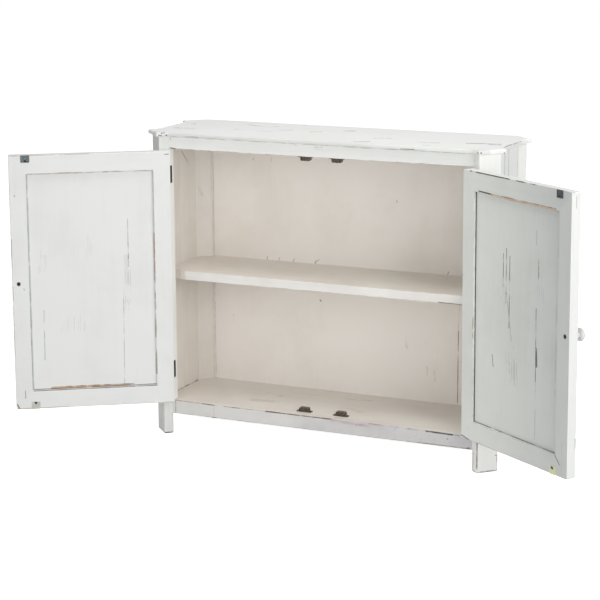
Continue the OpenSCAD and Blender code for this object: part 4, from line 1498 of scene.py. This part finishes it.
def floor_marks() -> list[Mark]:
    """The faint smears on the bottom board.

    Returns:
        The board's marks.
    """
    top = 98.0
    return [
        Mark(Tone.SMUDGE, (-236, 108, top), (-165, 116, top), 26.0, 0.3, 0.45),
        Mark(Tone.SMUDGE, (-230, 188, top), (-184, 176, top), 22.0, 0.2, 0.45),
        Mark(Tone.SMUDGE, (2, 220, top), (77, 230, top), 22.0, 0.28, 0.45),
        Mark(Tone.SMUDGE, (24, 152, top), (87, 115, top), 26.0, 0.25, 0.45),
        Mark(Tone.DARK_BROWN, (-481, 110, top), (-481, 236, top), 2.6, 0.7, 0.42),
        Mark(Tone.DARK_BROWN, (-474, 249, top), (-450, 283, top), 2.6, 0.7, 0.35),
    ]


def left_frame_marks() -> list[Mark]:
    """The marks on the left door's stiles and rails.

    Returns:
        The frame's marks.
    """
    return [
        # The blue-grey line along the free stile's inner edge and the near-black line along the bottom rail's
        # inner edge are painted shade of the groove round the panel
        Mark(Tone.BLUE_SHADE, (47.5, 54), (47.5, 657), 2.6, 0.9, 0.05),
        Mark(Tone.CRACK_AND_SHADOW, (47.5, 180), (47.5, 330), 1.8, 0.8, 0.45),
        Mark(Tone.SMUDGE, (49, 659), (391, 659), 2.4, 0.85, 0.25),
        Mark(Tone.RUST, (120, 660), (300, 660), 2.2, 0.7, 0.4),
        Mark(Tone.BARE_WOOD, (392, 342), (392, 484), 3.0, 0.85, 0.3),
        Mark(Tone.DARK_BROWN, (392, 84), (392, 342), 2.4, 0.8, 0.42),
        Mark(Tone.BLUE_SHADE, (392, 484), (392, 656), 2.0, 0.8, 0.2),
        Mark(Tone.CRACK_AND_SHADOW, (50, 51.5), (391, 51.5), 2.8, 0.85, 0.15),
        Mark(Tone.GREY_LINE, (13, 601), (14, 599), 3.4, 0.9, 0.0),
        Mark(Tone.GREY_LINE, (26, 53), (26, 31), 2.6, 0.9, 0.35),
        Mark(Tone.BLUE_SHADE, (48, 628), (48, 622), 3.0, 0.8, 0.0),
        Mark(Tone.BLUE_SHADE, (31, 342), (33, 338), 3.0, 0.6, 0.1),
        Mark(Tone.CRACK_AND_SHADOW, (3, 15), (8, 3), 3.8, 0.9, 0.0),
        Mark(Tone.RUST, (6, 2), (160, 1.4), 2.8, 0.8, 0.3),
        Mark(Tone.GREY_LINE, (160, 1), (436, 1), 2.0, 0.7, 0.4),
        Mark(Tone.GREY_LINE, (4, 710), (230, 710), 2.0, 0.8, 0.35),
        Mark(Tone.RUST, (4, 709), (60, 710), 2.0, 0.6, 0.4),
        Mark(Tone.BLUE_SHADE, (1, 400), (1, 480), 2.6, 0.85, 0.25),
        Mark(Tone.BARE_WOOD, (0.8, 150), (1, 350), 2.4, 0.75, 0.4),
        Mark(Tone.GREY_LINE, (0.4, 30), (0.4, 690), 1.8, 0.6, 0.45),
        Mark(Tone.CRACK_AND_SHADOW, (425, 702), (436, 703), 2.4, 0.8, 0.0),
    ]


def left_panel_marks() -> list[Mark]:
    """The marks on the left door's panel.

    Returns:
        The panel's marks.
    """
    deep = -8.5
    faint = hatch(Tone.BLUE_SHADE, (74, 380), (96, 505), 4, deep, 2.0, 0.25)
    faint += hatch(Tone.BLUE_SHADE, (204, 405), (224, 540), 3, deep, 2.0, 0.2)
    faint += hatch(Tone.BLUE_SHADE, (130, 205), (205, 290), 7, deep, 1.8, 0.22)
    faint += hatch(Tone.BLUE_SHADE, (304, 260), (326, 540), 5, deep, 2.0, 0.35)
    return faint + [
        # The blue-grey line at the panel's free-side edge and the near-black line along its bottom are
        # painted shade of the groove; the orange strips are worn arris
        Mark(Tone.BLUE_SHADE, (49.5, 54, deep), (49.5, 657, deep), 3.0, 0.45, 0.2),
        Mark(Tone.SMUDGE, (50, 657, deep), (391, 657, deep), 2.4, 0.6, 0.3),
        Mark(Tone.RUST, (390.5, 84, deep), (390.5, 484, deep), 3.0, 0.6, 0.4),
        Mark(Tone.ORANGE_WOOD, (100, 55, deep), (230, 56, deep), 7.0, 0.85, 0.1),
        Mark(Tone.ORANGE_WOOD, (200, 55, deep), (318, 54, deep), 5.0, 0.8, 0.15),
        Mark(Tone.DARK_BROWN, (140, 58, deep), (330, 57, deep), 2.4, 0.8, 0.4),
        Mark(Tone.CRACK_AND_SHADOW, (52, 53, deep), (390, 53, deep), 3.0, 0.7, 0.2),
        Mark(Tone.GREY_LINE, (84, 276, deep), (83, 136, deep), 2.6, 0.65, 0.35),
        Mark(Tone.GREY_LINE, (304, 300, deep), (302, 58, deep), 2.4, 0.6, 0.38),
        Mark(Tone.GREY_LINE, (320, 526, deep), (319.6, 391, deep), 2.4, 0.6, 0.38),
        Mark(Tone.DARK_BROWN, (320, 458, deep), (319.7, 414, deep), 2.0, 0.7, 0.4),
    ]


def right_frame_marks() -> list[Mark]:
    """The marks on the right door's stiles and rails.

    Returns:
        The frame's marks.
    """
    joint = -7.6
    return [
        # The two marks at this depth paint shade on the groove walls beside the hinge stile and the bottom
        # rail
        Mark(Tone.CRACK_AND_SHADOW, (391.9, 52, joint), (391.9, 660, joint), 5.8, 0.95, 0.0),
        Mark(Tone.DARK_BROWN, (388, 51.2, joint), (52, 51.2, joint), 3.6, 0.8, 0.25),
        Mark(Tone.CRACK_AND_SHADOW, (410, 710.6), (250, 710.6), 5.0, 0.9, 0.2),
        Mark(Tone.DARK_BROWN, (250, 710.6), (130, 710.6), 4.2, 0.85, 0.4),
        Mark(Tone.GREY_LINE, (130, 711), (8, 711), 2.4, 0.8, 0.3),
        Mark(Tone.GREY_LINE, (391.6, 52), (391.6, 660), 2.2, 0.6, 0.3),
        Mark(Tone.BARE_WOOD, (392, 250), (392, 330), 3.4, 0.7, 0.3),
        Mark(Tone.ORANGE_WOOD, (60, 660.5), (330, 661), 3.4, 0.85, 0.2),
        Mark(Tone.CRACK_AND_SHADOW, (372, 663), (322, 662), 3.8, 0.95, 0.05),
        Mark(Tone.DARK_BROWN, (60, 663), (330, 663), 2.0, 0.85, 0.35),
        Mark(Tone.GREY_LINE, (388, 51.5), (270, 51.5), 2.2, 0.6, 0.3),
        Mark(Tone.GREY_LINE, (270, 51.5), (52, 51.5), 2.0, 0.5, 0.35),
        Mark(Tone.CRACK_AND_SHADOW, (50, 54), (29, 31), 2.2, 0.95, 0.05),
        Mark(Tone.CRACK_AND_SHADOW, (47.5, 545), (47.5, 640), 2.2, 0.85, 0.4),
        Mark(Tone.GREY_LINE, (47.5, 54), (47.5, 656), 2.0, 0.8, 0.42),
        Mark(Tone.CRACK_AND_SHADOW, (437, 6), (404, 1), 3.2, 0.85, 0.1),
        Mark(Tone.SMUDGE, (404, 1), (6, 1), 2.4, 0.75, 0.4),
        Mark(Tone.GREY_LINE, (22, 6), (22, 90), 1.8, 0.6, 0.42),
        Mark(Tone.CRACK_AND_SHADOW, (0, 74, -24), (0, 100, -24), 2.4, 0.6, 0.3),
        Mark(Tone.GREY_LINE, (0, 700, -14), (0, 672, -14), 3.6, 0.45, 0.2),
    ]


def right_panel_marks() -> list[Mark]:
    """The marks on the right door's panel.

    Returns:
        The panel's marks.
    """
    deep = -8.5
    fine = hatch(Tone.CRACK_AND_SHADOW, (212, 180), (262, 325), 9, deep, 1.4, 0.5)
    fine += hatch(Tone.GREY_LINE, (240, 380), (290, 545), 7, deep, 1.5, 0.6)
    fine += hatch(Tone.GREY_LINE, (112, 420), (150, 560), 5, deep, 1.5, 0.55)
    return fine + [
        Mark(Tone.ORANGE_WOOD, (60, 656, deep), (330, 656, deep), 4.0, 0.6, 0.3),
        Mark(Tone.DARK_BROWN, (52, 53, deep), (390, 53, deep), 2.4, 0.5, 0.35),
        Mark(Tone.CRACK_AND_SHADOW, (276.3, 517, deep), (276.6, 432, deep), 2.4, 0.85, 0.3),
        Mark(Tone.CRACK_AND_SHADOW, (264, 532, deep), (264.3, 392, deep), 2.4, 0.85, 0.35),
        Mark(Tone.CRACK_AND_SHADOW, (250, 514, deep), (250.4, 330, deep), 2.4, 0.9, 0.3),
        Mark(Tone.CRACK_AND_SHADOW, (262, 420, deep), (240, 300, deep), 1.6, 0.6, 0.42),
        Mark(Tone.GREY_LINE, (143.9, 596, deep), (143.9, 560, deep), 2.2, 0.85, 0.3),
        Mark(Tone.CRACK_AND_SHADOW, (134, 524, deep), (134, 476, deep), 2.6, 0.85, 0.2),
        Mark(Tone.CRACK_AND_SHADOW, (141.3, 400, deep), (140, 216, deep), 2.4, 0.9, 0.3),
        Mark(Tone.CRACK_AND_SHADOW, (138, 300, deep), (136, 254, deep), 5.6, 0.8, 0.3),
        Mark(Tone.GREY_LINE, (139, 219, deep), (139.4, 66, deep), 2.0, 0.85, 0.35),
        Mark(Tone.CRACK_AND_SHADOW, (318.5, 246, deep), (314.4, 216, deep), 2.4, 0.85, 0.1),
        Mark(Tone.GREY_LINE, (62, 460, deep), (62, 174, deep), 2.2, 0.7, 0.4),
    ]


def main() -> None:
    """Builds the scene in order."""
    logging.basicConfig(level=logging.INFO, format="%(name)s: %(message)s")
    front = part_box("front_top_rail")[0].y - FACE_SET_BACK * MM
    pins = {joint["child"]: Vector(joint["pos_m"]) for joint in frame["joints"]}
    Case(CaseSpace(front)).build()
    Door(-1, pins["left_door"], LEFT_DOOR, DOOR_WHITE, PLATE_BLUE, PLATE_PALE,
         ((48.6, 690.6), (53.9, 20.9)), left_frame_marks(), left_panel_marks()).build()
    Door(1, pins["right_door"], SHADED_RIGHT_DOOR, SHADED_FREE_SIDE, PLATE_BLACK, PLATE_YELLOW,
         ((54.6, 692.5), (57.2, 17.3)), right_frame_marks(), right_panel_marks()).build()
    Ironwork().build()
    Studio(plan_line=front).build()


if __name__ == "__main__":
    main()
